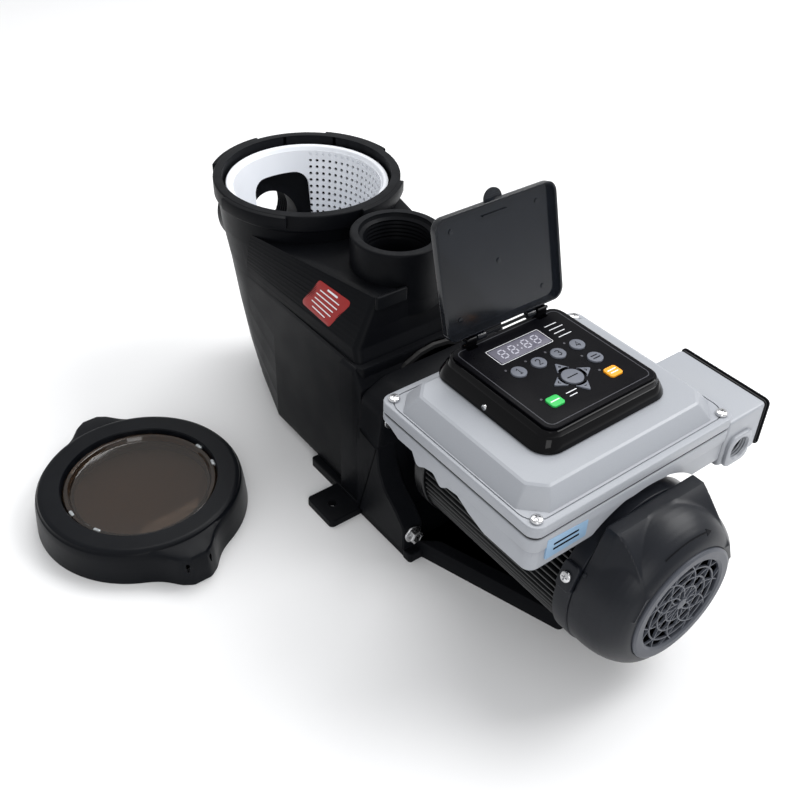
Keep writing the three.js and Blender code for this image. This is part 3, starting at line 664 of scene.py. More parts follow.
def powder_coat(finish: CoatedFinish) -> bpy.types.Material:
    """Baked paint: orange-peel relief at two sizes, fine flecks, thin pale edges, painted shade in concave corners
    and a faint clear coat.

    Args:
        finish: colour, roughness and the strength of each effect.

    Returns:
        The material.
    """
    recipe = Recipe(finish.name)
    put = recipe.put
    surface = put("BsdfPrincipled", "baked paint", {"Coat Weight": finish.coat, "Coat Roughness": 0.22})
    output = put("OutputMaterial", "to the casting")
    place = put("TexCoord", "place on the casting")
    fine = put("TexNoise", "fine orange peel", {"Scale": finish.peel, "Detail": 2.0})
    broad = put("TexNoise", "cast waviness", {"Scale": 55.0, "Detail": 3.0})
    mixed = put("Math", "peel over waviness", {1: 0.4}, operation="MULTIPLY_ADD")
    relief = put("Bump", "paint relief", {"Strength": finish.peel_depth, "Distance": 0.0006})
    flecks = put("TexVoronoi", "pigment flecks", {"Scale": 1500.0})
    speck = put("MapRange", "how dark a fleck is", {"To Min": 1.0, "To Max": 1.0 - finish.fleck})
    tint = put("Mix", "flecked paint", {0: 1.0, 6: (*finish.colour, 1)}, data_type="RGBA",
               blend_type="MULTIPLY")
    shape = put("NewGeometry", "edges and corners")
    thin = put("MapRange", "thin paint on edges", {"From Min": 0.53, "From Max": 0.64, "To Max": finish.wear})
    edged = put("Mix", "paler edge", {7: (*(min(1.0, 1.35 * c + 0.03) for c in finish.colour), 1)},
                data_type="RGBA")
    # painted shade: concave corners, found by low pointiness, are darkened to as little as 0.55 of the colour
    hollow_shade_mask = put("MapRange", "grime in corners", {"From Min": 0.4, "From Max": 0.49, "To Min": 0.55,
               "To Max": 1.0})
    shaded_corners = put("Mix", "painted shade in corner", {0: 1.0}, data_type="RGBA", blend_type="MULTIPLY")
    shine = put("MapRange", "uneven bake", {"To Min": finish.roughness - 0.06,
                "To Max": finish.roughness + 0.06})
    recipe.join([(place, "Object", fine, "Vector"), (place, "Object", broad, "Vector"),
                (place, "Object", flecks, "Vector"), (fine, "Fac", mixed, 0), (broad, "Fac", mixed, 2),
                (mixed, "Value", relief, "Height"), (flecks, "Distance", speck, "Value"),
                (speck, "Result", tint, 7), (shape, "Pointiness", thin, "Value"),
                (shape, "Pointiness", hollow_shade_mask, "Value"), (thin, "Result", edged, 0), (tint, 2, edged, 6),
                (edged, 2, shaded_corners, 6), (hollow_shade_mask, "Result", shaded_corners, 7), (broad, "Fac", shine, "Value"),
                (shaded_corners, 2, surface, "Base Color"), (shine, "Result", surface, "Roughness"),
                (relief, "Normal", surface, "Normal"), (surface, "BSDF", output, "Surface")])
    recipe.set_out([("orange peel", (place, fine, broad, mixed, relief)), ("flecks", (flecks, speck, tint)),
                   ("edges and corners", (shape, thin, edged, hollow_shade_mask, shaded_corners)),
                   ("surface", (shine, surface, output))])
    return recipe.material


def gloss_plastic(finish: GlossFinish) -> bpy.types.Material:
    """Polished plastic, solid or smoked: smudged shine, hairline scratches, dust specks and, on smoked plastic,
    painted shade that deepens the tint where the surface is seen edge-on.

    Args:
        finish: colour, roughness, clearness and the strength of each effect.

    Returns:
        The material.
    """
    recipe = Recipe(finish.name)
    put = recipe.put
    surface = put("BsdfPrincipled", "polished plastic", {"Specular IOR Level": finish.specular,
                  "Transmission Weight": finish.transmission, "IOR": finish.ior})
    output = put("OutputMaterial", "to the piece")
    place = put("TexCoord", "place on the pump")
    smudges = put("TexNoise", "wiped smudges", {"Scale": 34.0, "Detail": 5.0, "Distortion": 1.6})
    shine = put("MapRange", "shine through smudges", {"From Min": 0.45, "From Max": 0.75,
                "To Min": finish.roughness, "To Max": finish.roughness + finish.smudge})
    drawn = put("Mapping", "drawn out in one direction", {"Scale": (1400.0, 40.0, 1400.0),
                "Rotation": (0.0, 0.0, 0.6)})
    hairlines = put("TexNoise", "hairline scratches", {"Scale": 1.0})
    relief = put("Bump", "scratch relief", {"Strength": 0.025, "Distance": 0.0002})
    cells = put("TexVoronoi", "scattered dust", {"Scale": 420.0})
    speck = put("MapRange", "one speck in each cell", {"From Min": 0.08, "From Max": 0.03,
                "To Max": finish.specks})
    dusted = put("Mix", "specks of dust", {7: (0.3, 0.3, 0.3, 1)}, data_type="RGBA")
    # painted shade: on smoked plastic the colour darkens towards the rim colour where the surface is seen edge-on
    grazing = put("LayerWeight", "seen edge-on", {"Blend": 0.35})
    rim = put("Mix", "painted shade edge-on", {6: (*finish.colour, 1),
              7: (*(finish.rim if finish.transmission else finish.colour), 1)}, data_type="RGBA")
    recipe.join([(place, "Object", smudges, "Vector"), (place, "Object", drawn, "Vector"),
                (place, "Object", cells, "Vector"), (drawn, "Vector", hairlines, "Vector"),
                (smudges, "Fac", shine, "Value"), (hairlines, "Fac", relief, "Height"),
                (cells, "Distance", speck, "Value"), (grazing, "Facing", rim, 0),
                (speck, "Result", dusted, 0), (rim, 2, dusted, 6), (dusted, 2, surface, "Base Color"),
                (shine, "Result", surface, "Roughness"), (relief, "Normal", surface, "Normal"),
                (surface, "BSDF", output, "Surface")])
    recipe.set_out([("smudges", (place, smudges, shine)), ("scratches", (drawn, hairlines, relief)),
                   ("dust specks", (cells, speck, dusted)), ("painted edge-on shade", (grazing, rim)),
                   ("surface", (surface, output))])
    return recipe.material


def plated_metal(finish: MetalFinish) -> bpy.types.Material:
    """Turned or plated metal: fine tool marks, cloudy plating and painted shade where surfaces meet.

    Args:
        finish: colour, roughness and the strength of each effect.

    Returns:
        The material.
    """
    recipe = Recipe(finish.name)
    put = recipe.put
    surface = put("BsdfPrincipled", "metal", {"Metallic": 1.0, "Anisotropic": finish.anisotropy})
    output = put("OutputMaterial", "to the fastener")
    place = put("TexCoord", "place on the pump")
    marks = put("TexNoise", "tool marks", {"Scale": finish.marks, "Detail": 3.0})
    relief = put("Bump", "tool mark relief", {"Strength": 0.12, "Distance": 0.0002})
    cloud = put("TexNoise", "cloudy plating", {"Scale": 260.0})
    shine = put("MapRange", "uneven shine", {"To Min": finish.roughness - 0.08,
                "To Max": finish.roughness + 0.12})
    # painted shade: hollows found by low pointiness are darkened towards near black
    shape = put("NewGeometry", "sunken places")
    hollow_shade_mask = put("MapRange", "how deep a corner is", {"From Min": 0.49, "From Max": 0.4,
               "To Max": finish.grime})
    hollow_shaded = put("Mix", "grime in the recess", {6: (*finish.colour, 1), 7: (0.02, 0.02, 0.02, 1)},
                data_type="RGBA")
    recipe.join([(place, "Object", marks, "Vector"), (place, "Object", cloud, "Vector"),
                (marks, "Fac", relief, "Height"), (cloud, "Fac", shine, "Value"),
                (shape, "Pointiness", hollow_shade_mask, "Value"), (hollow_shade_mask, "Result", hollow_shaded, 0),
                (hollow_shaded, 2, surface, "Base Color"), (shine, "Result", surface, "Roughness"),
                (relief, "Normal", surface, "Normal"), (surface, "BSDF", output, "Surface")])
    recipe.set_out([("tool marks", (place, marks, relief)), ("plating", (cloud, shine)),
                   ("grime", (shape, hollow_shade_mask, hollow_shaded)), ("surface", (surface, output))])
    return recipe.material


def stacked_layers(finish: StackedFinish) -> bpy.types.Material:
    """Layers stacked along the shaft, each a little different, with a dark line between them.

    Args:
        finish: the layers' colour, the colour between them, and how many there are to a metre.

    Returns:
        The material.
    """
    recipe = Recipe(finish.name)
    put = recipe.put
    surface = put("BsdfPrincipled", "stack", {"Metallic": finish.metal})
    output = put("OutputMaterial", "to the motor")
    place = put("TexCoord", "place along the shaft")
    layers = put("TexWave", "layers", {"Scale": finish.layers, "Distortion": 0.4}, bands_direction="X")
    uneven = put("TexNoise", "uneven layers", {"Scale": 130.0})
    colour = put("Mix", "layer or line", {6: (*finish.between, 1), 7: (*finish.colour, 1)}, data_type="RGBA")
    shine = put("MapRange", "uneven shine", {"To Min": finish.roughness - 0.1,
                "To Max": finish.roughness + 0.15})
    relief = put("Bump", "layer relief", {"Strength": 0.4, "Distance": 0.0005})
    recipe.join([(place, "Object", layers, "Vector"), (place, "Object", uneven, "Vector"),
                (layers, "Fac", colour, 0), (layers, "Fac", relief, "Height"),
                (uneven, "Fac", shine, "Value"), (colour, 2, surface, "Base Color"),
                (shine, "Result", surface, "Roughness"), (relief, "Normal", surface, "Normal"),
                (surface, "BSDF", output, "Surface")])
    recipe.set_out([("layers", (place, layers, colour, relief)), ("shine", (uneven, shine)),
                   ("surface", (surface, output))])
    return recipe.material


def circuit_board_finish() -> bpy.types.Material:
    """A green board: copper runs on a square grid under the lacquer, with tinned pads."""
    recipe = Recipe("lacquered circuit board")
    put = recipe.put
    surface = put("BsdfPrincipled", "lacquered board", {"Roughness": 0.3})
    output = put("OutputMaterial", "to the board")
    place = put("TexCoord", "place on the board")
    runs = put("TexBrick", "copper runs", {"Scale": 90.0, "Color1": (0.012, 0.11, 0.035, 1),
               "Color2": (0.018, 0.15, 0.045, 1), "Mortar": (0.05, 0.27, 0.09, 1)})
    pads = put("TexVoronoi", "solder pads", {"Scale": 160.0, "Randomness": 0.35})
    tinned = put("MapRange", "round pad", {"From Min": 0.22, "From Max": 0.18})
    colour = put("Mix", "pads over runs", {7: (0.5, 0.5, 0.48, 1)}, data_type="RGBA")
    recipe.join([(place, "Object", runs, "Vector"), (place, "Object", pads, "Vector"),
                (pads, "Distance", tinned, "Value"), (tinned, "Result", colour, 0),
                (runs, "Color", colour, 6), (colour, 2, surface, "Base Color"),
                (surface, "BSDF", output, "Surface")])
    recipe.set_out([("copper", (place, runs)), ("pads", (pads, tinned, colour)),
                   ("surface", (surface, output))])
    return recipe.material


class Paintbox:
    """Makes each finish's material once."""

    makers = {MouldedFinish: moulded_plastic, CoatedFinish: powder_coat, GlossFinish: gloss_plastic,
              MetalFinish: plated_metal, StackedFinish: stacked_layers}

    def __init__(self) -> None:
        """Starts with no materials made."""
        self.made: dict[str, bpy.types.Material] = {}

    def __call__(self, finish: Finish) -> bpy.types.Material:
        """The material of a finish."""
        if finish.name not in self.made:
            self.made[finish.name] = self.makers[type(finish)](finish)
        return self.made[finish.name]


paint = Paintbox()


# ---- wet end: strainer pot and volute, basket, base, seal plate ---------------------------------------


def band_round(circles: np.ndarray, count: int = 144) -> np.ndarray:
    """The outline of a band stretched round circles: in each direction, the circle point that reaches furthest.

    Args:
        circles: middle x, middle y and radius of each, shape (n, 3).
        count: number of directions.

    Returns:
        The outline going anticlockwise, shape (count, 2).
    """
    angle = np.arange(count) * 2 * np.pi / count
    direction = np.stack([np.cos(angle), np.sin(angle)], -1)
    furthest = (circles[:, :2] @ direction.T + circles[:, 2:]).argmax(0)
    return circles[furthest, :2] + circles[furthest, 2:] * direction


@dataclass
class WetEnd:
    """The black moulding of strainer pot, volute and flange, with its label, drain plug and white basket."""

    pot_x: float = -193.0
    pot_top: float = 253.0
    ring_radius: float = 93.0
    mouth_radius: float = 84.0
    lug_radius: float = 97.0
    discharge_x: float = -44.4
    discharge_top: float = 254.7
    port_radius: float = 43.4
    port_bore: float = 31.0
    port_height: float = 62.0
    deck_corner: float = 7.0
    pot_overlap: float = 0.6
    suction_end: float = -312.0
    suction_z: float = 166.0
    hole_radius: float = 1.75
    basket_wall_thickness: float = 2.0
    pot_profile: tuple[tuple[float, float], ...] = ((50, 11), (60, 18), (68.6, 65), (75.8, 117), (81.5, 167),
                                                   (87.6, 208), (89.5, 235))
    deck_levels: tuple[tuple[float, float, float], ...] = ((120, 8, 82), (160, 7, 80), (168, 5, 79),
                                                           (178, -1, 76.5),
                                                          (217, -6, 53.5), (220.5, -7.5, 51.5), (222, -11, 48))
    side_levels: tuple[tuple[float, float], ...] = ((10.3, 3.0), (11.2, 1.4), (13.2, 0.3), (18, 0), (40, 0),
                                                    (66, 0),
                                                    (90, 0), (117, 0), (140, 0), (165, 0), (167, 0.8))

    def pot_radius(self, height: float | np.ndarray) -> np.ndarray:
        """Outer radius of the pot at a height, straight between the profile's points."""
        radius, level = np.array(self.pot_profile, float).T
        return np.interp(height, level, radius)

    def pot_outside(self) -> Shell:
        """The pot as a solid of turning, with the flat ring that the lid screws on."""
        corners = [(0, 11), *self.pot_profile, (self.ring_radius, 237), (self.ring_radius, self.pot_top),
                   (0, self.pot_top)]
        return turned(corners, [0, 5, 14, 70, 70, 70, 50, 2, 1.5, 1.6, 0], 160, ring=False)

    def pot_inside(self) -> Shell:
        """The hollow of the pot, stepped where the basket's rim sits."""
        walls = [(r - 5, z) for r, z in self.pot_profile if 20 < z < 230]
        corners = [(0, 14), (50, 14), (58, 22), *walls, (82, 239), (self.mouth_radius, 240),
                   (self.mouth_radius, 262),
                   (0, 262)]
        return turned(corners, [0, 8, 8, *[50] * len(walls), 1, 0.5, 0.5, 0], 160, ring=False)

    def lug(self, start: float) -> Shell:
        """One bayonet lug, an eighth of a turn long, with a lead-in slope at both ends."""
        outline = sector(start, start + 45, 87, self.lug_radius, 14)
        return slab(outline, edge_levels(240, self.pot_top - 0.4, 1.2, 1.4, 2))

    def lower_body(self) -> Shell:
        """The volute's lower half: at each height a band stretched round the pot, the corners where its flat
        sides begin, and the flange corners; its bottom edge is rounded."""
        rows = []
        for height, draw in self.side_levels:
            pot = [self.pot_x, 0, float(self.pot_radius(max(height, 18))) - self.pot_overlap - draw]
            circles = [pot] + [[x, side * (half - 6), 6 - draw]
                               for side in (-1, 1) for x, half in ((-139, 80), (7, 82))]
            outline = band_round(np.array(circles, float), 240)
            rows.append(lifted(outline, height))
        return loft(np.stack(rows))

    def upper_body(self) -> Shell:
        """The volute's upper half: a band round the pot and two deck corners that draw in towards the top."""
        rows, corner = [], self.deck_corner
        level, reach, half = np.array(self.deck_levels, float).T
        for height in np.unique(np.concatenate([level, np.arange(120, 221, 1.5)])):
            pot = [self.pot_x, 0, float(self.pot_radius(height)) - self.pot_overlap]
            end, side = np.interp(height, level, reach), np.interp(height, level, half)
            circles = [pot, [end - corner, side - corner, corner], [end - corner, corner - side, corner]]
            outline = band_round(np.array(circles), 360)
            rows.append(lifted(outline, height))
        return loft(np.stack(rows))

    def flange(self) -> Shell:
        """The flange: a rectangle across the shaft whose top edge slopes down to the seal plate."""
        rows = []
        for x, top, half in ((-15, 164, 84), (-13.5, 166, 86), (5, 167, 86), (7, 166.2, 86), (16.6, 152, 86),
                             (18, 150, 85)):
            outline = rounded([(-half, 10.3), (half, 10.3), (half, top), (-half, top)], [1.5, 1.5, 5, 5], 5)
            rows.append(np.column_stack([np.full(len(outline), x), outline]))
        return loft(np.stack(rows))

    def port(self) -> Shell:
        """A boss standing on z = 0, without its bore: a rounded lip and a short step at its root."""
        return turned([(0, 0), (self.port_radius + 1.6, 0), (self.port_radius, 12),
                       (self.port_radius, self.port_height), (0, self.port_height)],
                      [0, 0, 6, 2.4, 0], 128, ring=False)

    def bore(self, depth: float) -> Shell:
        """The bore below z = 0: a lead-in, a run of thread rings of 4 mm pitch, and the plain pipe.

        Args:
            depth: how deep the plain pipe goes.

        Returns:
            The closed form to be cut away, along Z.
        """
        rings = [(self.port_bore + (1.3 if step % 2 else 0.2), -5.5 - 2 * step) for step in range(11)]
        corners = [(0, -depth), (self.port_bore - 1, -depth), (self.port_bore - 1, -30), *rings[::-1],
                   (self.port_bore + 3.4, -3.6), (self.port_bore + 4.6, -0.8), (self.port_bore + 4.6, 2),
                   (0, 2)]
        return turned(corners, [0.0] * (3 + len(rings)) + [0.3, 0.8, 0, 0], 128, ring=False, steps=3)

    def side_point(self, x: np.ndarray, z: np.ndarray, proud: float) -> np.ndarray:
        """A point on the sloping face on the -Y side.

        At each height the face is the common tangent of the pot's circle and the deck corner's circle. Its
        normal n makes with the line between their middles the angle whose cosine is the difference of the
        radii over the distance of the middles.

        Args:
            x: distance along the shaft.
            z: height.
            proud: how far the point stands off the face.

        Returns:
            The points, shape (n, 3).
        """
        level, reach, half = np.array(self.deck_levels, float).T
        corner = self.deck_corner
        centre_x = np.interp(z, level, reach) - corner - self.pot_x
        centre_y = corner - np.interp(z, level, half)
        radius = self.pot_radius(z) - self.pot_overlap
        bearing = np.arctan2(centre_y, centre_x) - np.arccos((radius - corner) / np.hypot(centre_x, centre_y))
        normal_x, normal_y = np.cos(bearing), np.sin(bearing)
        y = (radius + proud - normal_x * (x - self.pot_x)) / normal_y
        return np.stack([x, y, z], -1)

    def label(self) -> Shell:
        """A thin label with round corners, laid on the sloping face."""
        corners = np.array([(-88.5, 184), (-44, 180.5), (-28.5, 209), (-72, 213)])
        outline = rounded(corners, 3.2, 6)
        middle = outline.mean(0)
        rows = []
        for shrink, proud in ((1, -0.4), (1, 0.28), (0.99, 0.36), (0.8, 0.36), (0.5, 0.36), (0.2, 0.36),
                              (0.02, 0.36)):
            at = middle + (outline - middle) * shrink
            rows.append(self.side_point(at[:, 0], at[:, 1], proud))
        return loft(np.stack(rows))

    def label_bars(self) -> Shell:
        """Plain pale bars on the label, standing for its print."""
        bars = []
        across, up = np.array([0.993, -0.115]), np.array([0.42, 0.9])
        for row, length in enumerate((14, 27, 30, 27, 29, 20)):
            middle = np.array([-51.5, 208.0]) - up * (4.7 * row + 0.4) - across * 1.0
            half, thick = across * length / 2, up * (0.9 if row == 0 else 0.5)
            outline = rounded([middle - half - thick, middle + half - thick, middle + half + thick,
                               middle - half + thick], 0.5, 3)
            bars.append(loft(np.stack([self.side_point(outline[:, 0], outline[:, 1], 0.3),
                                       self.side_point(outline[:, 0], outline[:, 1], 0.46)])))
        return together(bars)

    def housing(self) -> bpy.types.Mesh:
        """All the outer forms joined, then the pot, ports, pump chamber and bolt holes cut from them."""
        ridge = slab(rectangle(5, 34, 2.3, (-4.5, -36)), edge_levels(212, 224.6, 0, 2.2))
        add = [self.lower_body(), self.upper_body(), self.flange(), ridge,
               self.port().moved(self.discharge_x, 0, self.discharge_top - self.port_height),
               self.port().rolled(180, "Y").faced(Facing.ALONG_X).moved(self.suction_end + self.port_height, 0,
                                                                        self.suction_z)]
        lugs = together([self.lug(turn) for turn in (0, 90, 180, 270)]).moved(self.pot_x)
        body = fused("housing", self.pot_outside().moved(self.pot_x), [*add, lugs])
        intake = self.bore(70).rolled(180, "Y").faced(Facing.ALONG_X).moved(self.suction_end, 0, self.suction_z)
        chamber = rod(66, -48, 19, 0.4, 96).on_shaft()
        bolt_holes = together([rod(4.4, -6, 19, 0, 24).faced(Facing.ALONG_X).moved(y=y, z=z) for y,
                               z in FLANGE_BOLTS])
        drain = (rod(7.3, 50, 66, 0, 32) + rod(10.5, 65.6, 90, 0, 48)).faced(Facing.ALONG_Y).moved(self.pot_x,
                                                                                                   0, 36)
        riser = self.bore(150).moved(self.discharge_x, 0, self.discharge_top)
        return fused("pump_moulding", body, cut=[self.pot_inside().moved(self.pot_x), riser, intake, chamber,
                                                 bolt_holes, drain])

    def plug(self) -> Shell:
        """The drain plug: a washer face and a ribbed hand grip, along Y."""
        angle = np.arange(96) * 2 * np.pi / 96
        wavy = np.stack([np.cos(angle), np.sin(angle)], -1) * (9.3 + 0.7 * np.cos(8 * angle))[:, None]
        grip = slab(wavy, edge_levels(68, 76, 0.6, 1.2))
        return (rod(7, 56, 66.2, 0.4) + rod(10, 66, 68.2, 0.5) + grip).faced(Facing.ALONG_Y)

    def basket_radius(self, height: np.ndarray) -> np.ndarray:
        """Radius of the basket's wall at a height: it widens by 21 mm over 192 mm."""
        return 54 + (height - 40) * 21 / 192

    def basket_wall(self) -> bpy.types.Mesh:
        """The basket's tapering wall with its field of round holes and the suction window.

        The wall is a lattice of cells in bearing and height. A holed cell has eight corners on its edge and
        eight on the hole; a plain cell has a middle point in place of the circle.
        """
        columns, rows, low, high = 66, 28, 40.0, 240.5
        column, row = np.meshgrid(np.arange(columns), np.arange(rows), indexing="ij")
        bearing = (column.ravel() + 0.5) * 360 / columns
        height = low + (row.ravel() + 0.5) * (high - low) / rows
        holed = ((bearing < 147) | (bearing > 245)) & (height > 62)
        step = np.array([(-1, -1), (0, -1), (1, -1), (1, 0), (1, 1), (0, 1), (-1, 1), (-1, 0)])
        lattice_u = (2 * column.ravel()[:, None] + 1 + step[:, 0]) % (2 * columns)
        lattice_v = 2 * row.ravel()[:, None] + 1 + step[:, 1]
        edge = lattice_v * 2 * columns + lattice_u
        grid_v, grid_u = np.meshgrid(np.arange(2 * rows + 1), np.arange(2 * columns), indexing="ij")
        flat = np.stack([grid_u.ravel() * 180 / columns, low + grid_v.ravel() * (high - low) / (2 * rows)], -1)
        circle_step = step / np.linalg.norm(step, axis=1)[:, None]
        radius_here = self.basket_radius(height)
        hole = np.stack([bearing[:, None] + circle_step[:, 0] * np.degrees(self.hole_radius / radius_here)[:,
                                                                                                           None],
                         height[:, None] + circle_step[:, 1] * self.hole_radius], -1)
        middles = np.stack([bearing, height], -1)
        flat = np.vstack([flat, hole.reshape(-1, 2), middles])
        first_hole = (2 * rows + 1) * 2 * columns
        inner = first_hole + np.arange(len(bearing))[:, None] * 8 + np.arange(8)
        middle = first_hole + len(bearing) * 8 + np.arange(len(bearing))
        ring = np.stack([edge, np.roll(edge, -1, 1), np.roll(inner, -1, 1), inner], -1)[holed].reshape(-1, 4)
        fan = np.stack([edge, np.roll(edge, -1, 1), np.broadcast_to(middle[:, None], edge.shape)], -1)
        plain = fan[~holed].reshape(-1, 3)
        angle, level = np.radians(flat[:, 0]), flat[:, 1]
        radius = self.basket_radius(level)
        points = np.stack([radius * np.cos(angle), radius * np.sin(angle), level], -1)
        used = np.unique(np.concatenate([ring.ravel(), plain.ravel()]))
        number = np.full(len(points), -1)
        number[used] = np.arange(len(used))
        faces = [tuple(f) for f in number[ring].tolist()] + [tuple(f) for f in number[plain].tolist()]
        mesh = as_mesh("basket_wall", Shell(points[used], faces))
        wall = into_scene("basket_wall", mesh)
        thick = wall.modifiers.new("wall", "SOLIDIFY")
        thick.thickness, thick.offset = self.basket_wall_thickness * MM, -1.0
        solid = baked(wall)
        bpy.data.objects.remove(wall)
        window = slab(rectangle(62, 108, 14), [(-92, 0), (-40, 0)]).faced(Facing.ALONG_X)
        window = window.moved(0, 8, self.suction_z - 2)
        return fused("basket_wall", solid, cut=[window])

    def basket(self) -> bpy.types.Mesh:
        """The wall with its rim, hand notches, window frame and ribbed floor."""
        rim = turned([(76.6, 230), (81, 240.3), (81, 245), (76.2, 245), (74.6, 241), (74.8, 230)],
                     [0.4, 1.0, 1.4, 1.8, 2, 0.4], 160)
        floor = turned([(0, 34), (50, 34), (55.6, 41), (52, 42), (48, 36.8), (0, 36.8)],
                       [0, 3, 0.6, 0.6, 3, 0], 120,
                       ring=False)
        ribs = together([plate(92, 2, 0.8, 36.5, 39.5, 0.7).rolled(turn, "Z") for turn in (0, 60, 120)])
        mesh = self.basket_wall()
        work = bmesh.new()
        work.from_mesh(mesh)
        for part in (rim, floor, ribs):
            extra = as_mesh("basket_part", part)
            work.from_mesh(extra)
            bpy.data.meshes.remove(extra)
        work.to_mesh(mesh)
        work.free()
        mesh.transform(Matrix.Translation((self.pot_x * MM, 0, 0)))
        return mesh

    def build(self) -> None:
        """Makes the moulding, its label, the plug and the basket."""
        add_piece("pump_moulding", self.housing(), WET_BLACK, Body.PUMP, ["pump_housing"],
                  30)
        add_piece("side_label", self.label(), LABEL_RED, Body.PUMP)
        add_piece("side_label_bars", self.label_bars(), PRINT_WHITE, Body.PUMP)
        add_piece("drain_grip", self.plug().moved(self.pot_x, 0, 36), WET_BLACK, Body.PUMP, ["drain_plug"])
        add_piece("perforated_basket", self.basket(), BASKET_WHITE, Body.BASKET, ["strainer_basket"],
                  40)


@dataclass
class Base:
    """The base under the wet end, its two foot tabs, and the tapered frame that runs under the motor."""

    start: float = -66.0
    end: float = 93.0
    half: float = 87.0
    tab_half: float = 21.5
    tab_end: float = 122.0
    hole_at: float = 106.0

    def build(self) -> None:
        """Makes the plate joined to its tabs with the tabs' holes cut, the frame, the spine, the saddle hollowed for
        the motor, and the toe, each as a piece of its own.
        """
        base = plate(self.end - self.start, 2 * self.half, 3, 0, 10, 1.2, ((self.start + self.end) / 2, 0))
        tabs = plate(2 * self.tab_half, 2 * self.tab_end, 4.5, 0, 8, 1.4)
        rail_plan = rounded([(92, -77), (240, -30), (240, 30), (92, 77), (92, 61), (186, 29), (186, -29),
                             (92, -61)],
                            [1, 5, 5, 1, 1, 4, 4, 1], 4)
        rails = slab(rail_plan, [(0.4, 0), (10, 0.6), (16.4, 1.2), (17.6, 1.8), (18, 3.0)])
        toe = slab(rounded([(89, -88), (101, -88), (101, 88), (89, 88)], 3, 4), edge_levels(0, 9.6, 0, 1.5))
        saddle = plate(40, 52, 3, 4, 40, 1, (216, 0))
        spine = plate(100, 18, 2, 0, 22, 1.5, (145, 0))
        holes = together([rod(4.5, -1, 11, 0, 32).moved(0, side * self.hole_at, 0) for side in (-1, 1)])
        cradle = rod(74, 190, 245, 0, 96).on_shaft()
        foot = fused("base_plate", base, [tabs], [holes])
        arch = fused("base_saddle", saddle, cut=[cradle])
        for name, mesh in (("base_plate", foot), ("base_saddle", arch),
                           ("base_rails", as_mesh("base_rails", rails)),
                           ("base_spine", as_mesh("base_spine", spine)),
                           ("base_toe", as_mesh("base_toe", toe))):
            add_piece(name, mesh, WET_BLACK, Body.PUMP, ["motor_base"] if name == "base_plate" else (),
                      30)


@dataclass
class SealPlate:
    """The plate behind the housing flange, with its flared lower corners and the four bolts."""

    start: float = 18.3
    end: float = 50.0
    half: float = 90.0
    bell_start: float = 62.0

    def arch(self) -> bpy.types.Mesh:
        """The arched plate, less the seal chamber, the shaft hole and the bolt holes."""
        outline = rounded([(-90, 10.3), (90, 10.3), (90, 100), (85, 146), (60, 157), (-60, 157), (-85, 146),
                           (-90, 100)],
                          [2, 2, 30, 14, 30, 30, 14, 30], 6)
        levels = [(self.start, 1.2), (self.start + 1.2, 0), (self.end - 2.5, 0), (self.end - 0.7, 0.8),
                  (self.end, 2.5)]
        plate_shell = slab(outline, levels).faced(Facing.ALONG_X)
        chamber = rod(56, 10, 28.3, 0, 96).on_shaft()
        passage = rod(10.5, 0, 80, 0, 48).on_shaft()
        holes = [rod(4.6, 0, 120, 0, 24).faced(Facing.ALONG_X).moved(y=y, z=z) for y, z in FLANGE_BOLTS]
        return fused("seal_plate_casting", plate_shell, cut=[chamber, passage, *holes])

    def toe(self, side: int) -> bpy.types.Mesh:
        """The flared lower corner on one side, less its bolt hole.

        Args:
            side: -1 for -Y, 1 for +Y.

        Returns:
            The corner, placed on the pump.
        """
        path = rounded([(self.start + 4, 10.6), (93, 10.6), (93, 38), (80, 52), (62, 66), (53, 84), (50.2, 106),
                        (self.start + 4, 112)], [0.3, 2, 10, 24, 24, 30, 0.3, 0.3], 5)
        outer, inner = side * (self.half + 0.4), side * 68
        low, high = min(outer, inner), max(outer, inner)
        solid = slab(path, [(-high, 1.4), (-high + 1.4, 0), (-low - 1.4, 0), (-low, 1.4)]).faced(Facing.ACROSS)
        hole = rod(4.6, 0, 120, 0, 24).faced(Facing.ALONG_X).moved(y=side * 80, z=29)
        return fused("seal_plate_toe", solid, cut=[hole])

    def barrel(self) -> Shell:
        """The short ring that the motor's end seats on."""
        return tube(46, 58, 47, self.bell_start - 0.3, 1.0, 96).on_shaft()

    def bolt(self) -> Shell:
        """A hex bolt and washer seated on z = 0: the head's corners are chamfered by a shallow dome."""
        washer = turned([(4.2, 0), (9, 0), (9, 2), (4.2, 2)], 0.5, 48)
        hexagon = circle(7.5, 6)
        sharp = rounded(hexagon, 0.5, 3)
        head = slab(sharp, [(1.9, 0.6), (2.4, 0.1), (6.6, 0), (7.3, 0.35), (7.8, 1.1), (8, 2.4), (7.55, 3.0),
                            (7.5, 5.2)])
        return washer + head + rod(4, -34, 2.2, 0.3, 24)

    def build(self) -> None:
        """Makes the plate, its corners and barrel, and the four bolts."""
        add_piece("seal_plate_casting", self.arch(), WET_BLACK, Body.PUMP, ["seal_plate"],
                  30)
        for name, side in (("seal_plate_toe_near", -1), ("seal_plate_toe_far", 1)):
            add_piece(name, self.toe(side), WET_BLACK, Body.PUMP, (), 30)
        add_piece("seal_plate_barrel", self.barrel(), WET_BLACK, Body.PUMP, (), 30)
        for index, (y, z) in enumerate(FLANGE_BOLTS, 1):
            seat = (93 if z < 60 else self.end) + 0.3
            add_piece(f"flange_bolt_{index}", self.bolt().faced(Facing.ALONG_X).moved(seat, y, z), BRIGHT_STEEL,
                      Body.PUMP, [f"housing_bolt_{index}"], 25)


# ---- motor -------------------------------------------------------------------------------------------


def shell_of(mesh: bpy.types.Mesh) -> Shell:
    """A finished mesh read back as a shell in millimetres, so that it can be placed again."""
    points = np.empty(len(mesh.vertices) * 3)
    mesh.vertices.foreach_get("co", points)
    return Shell(points.reshape(-1, 3) / MM, [tuple(face.vertices) for face in mesh.polygons])


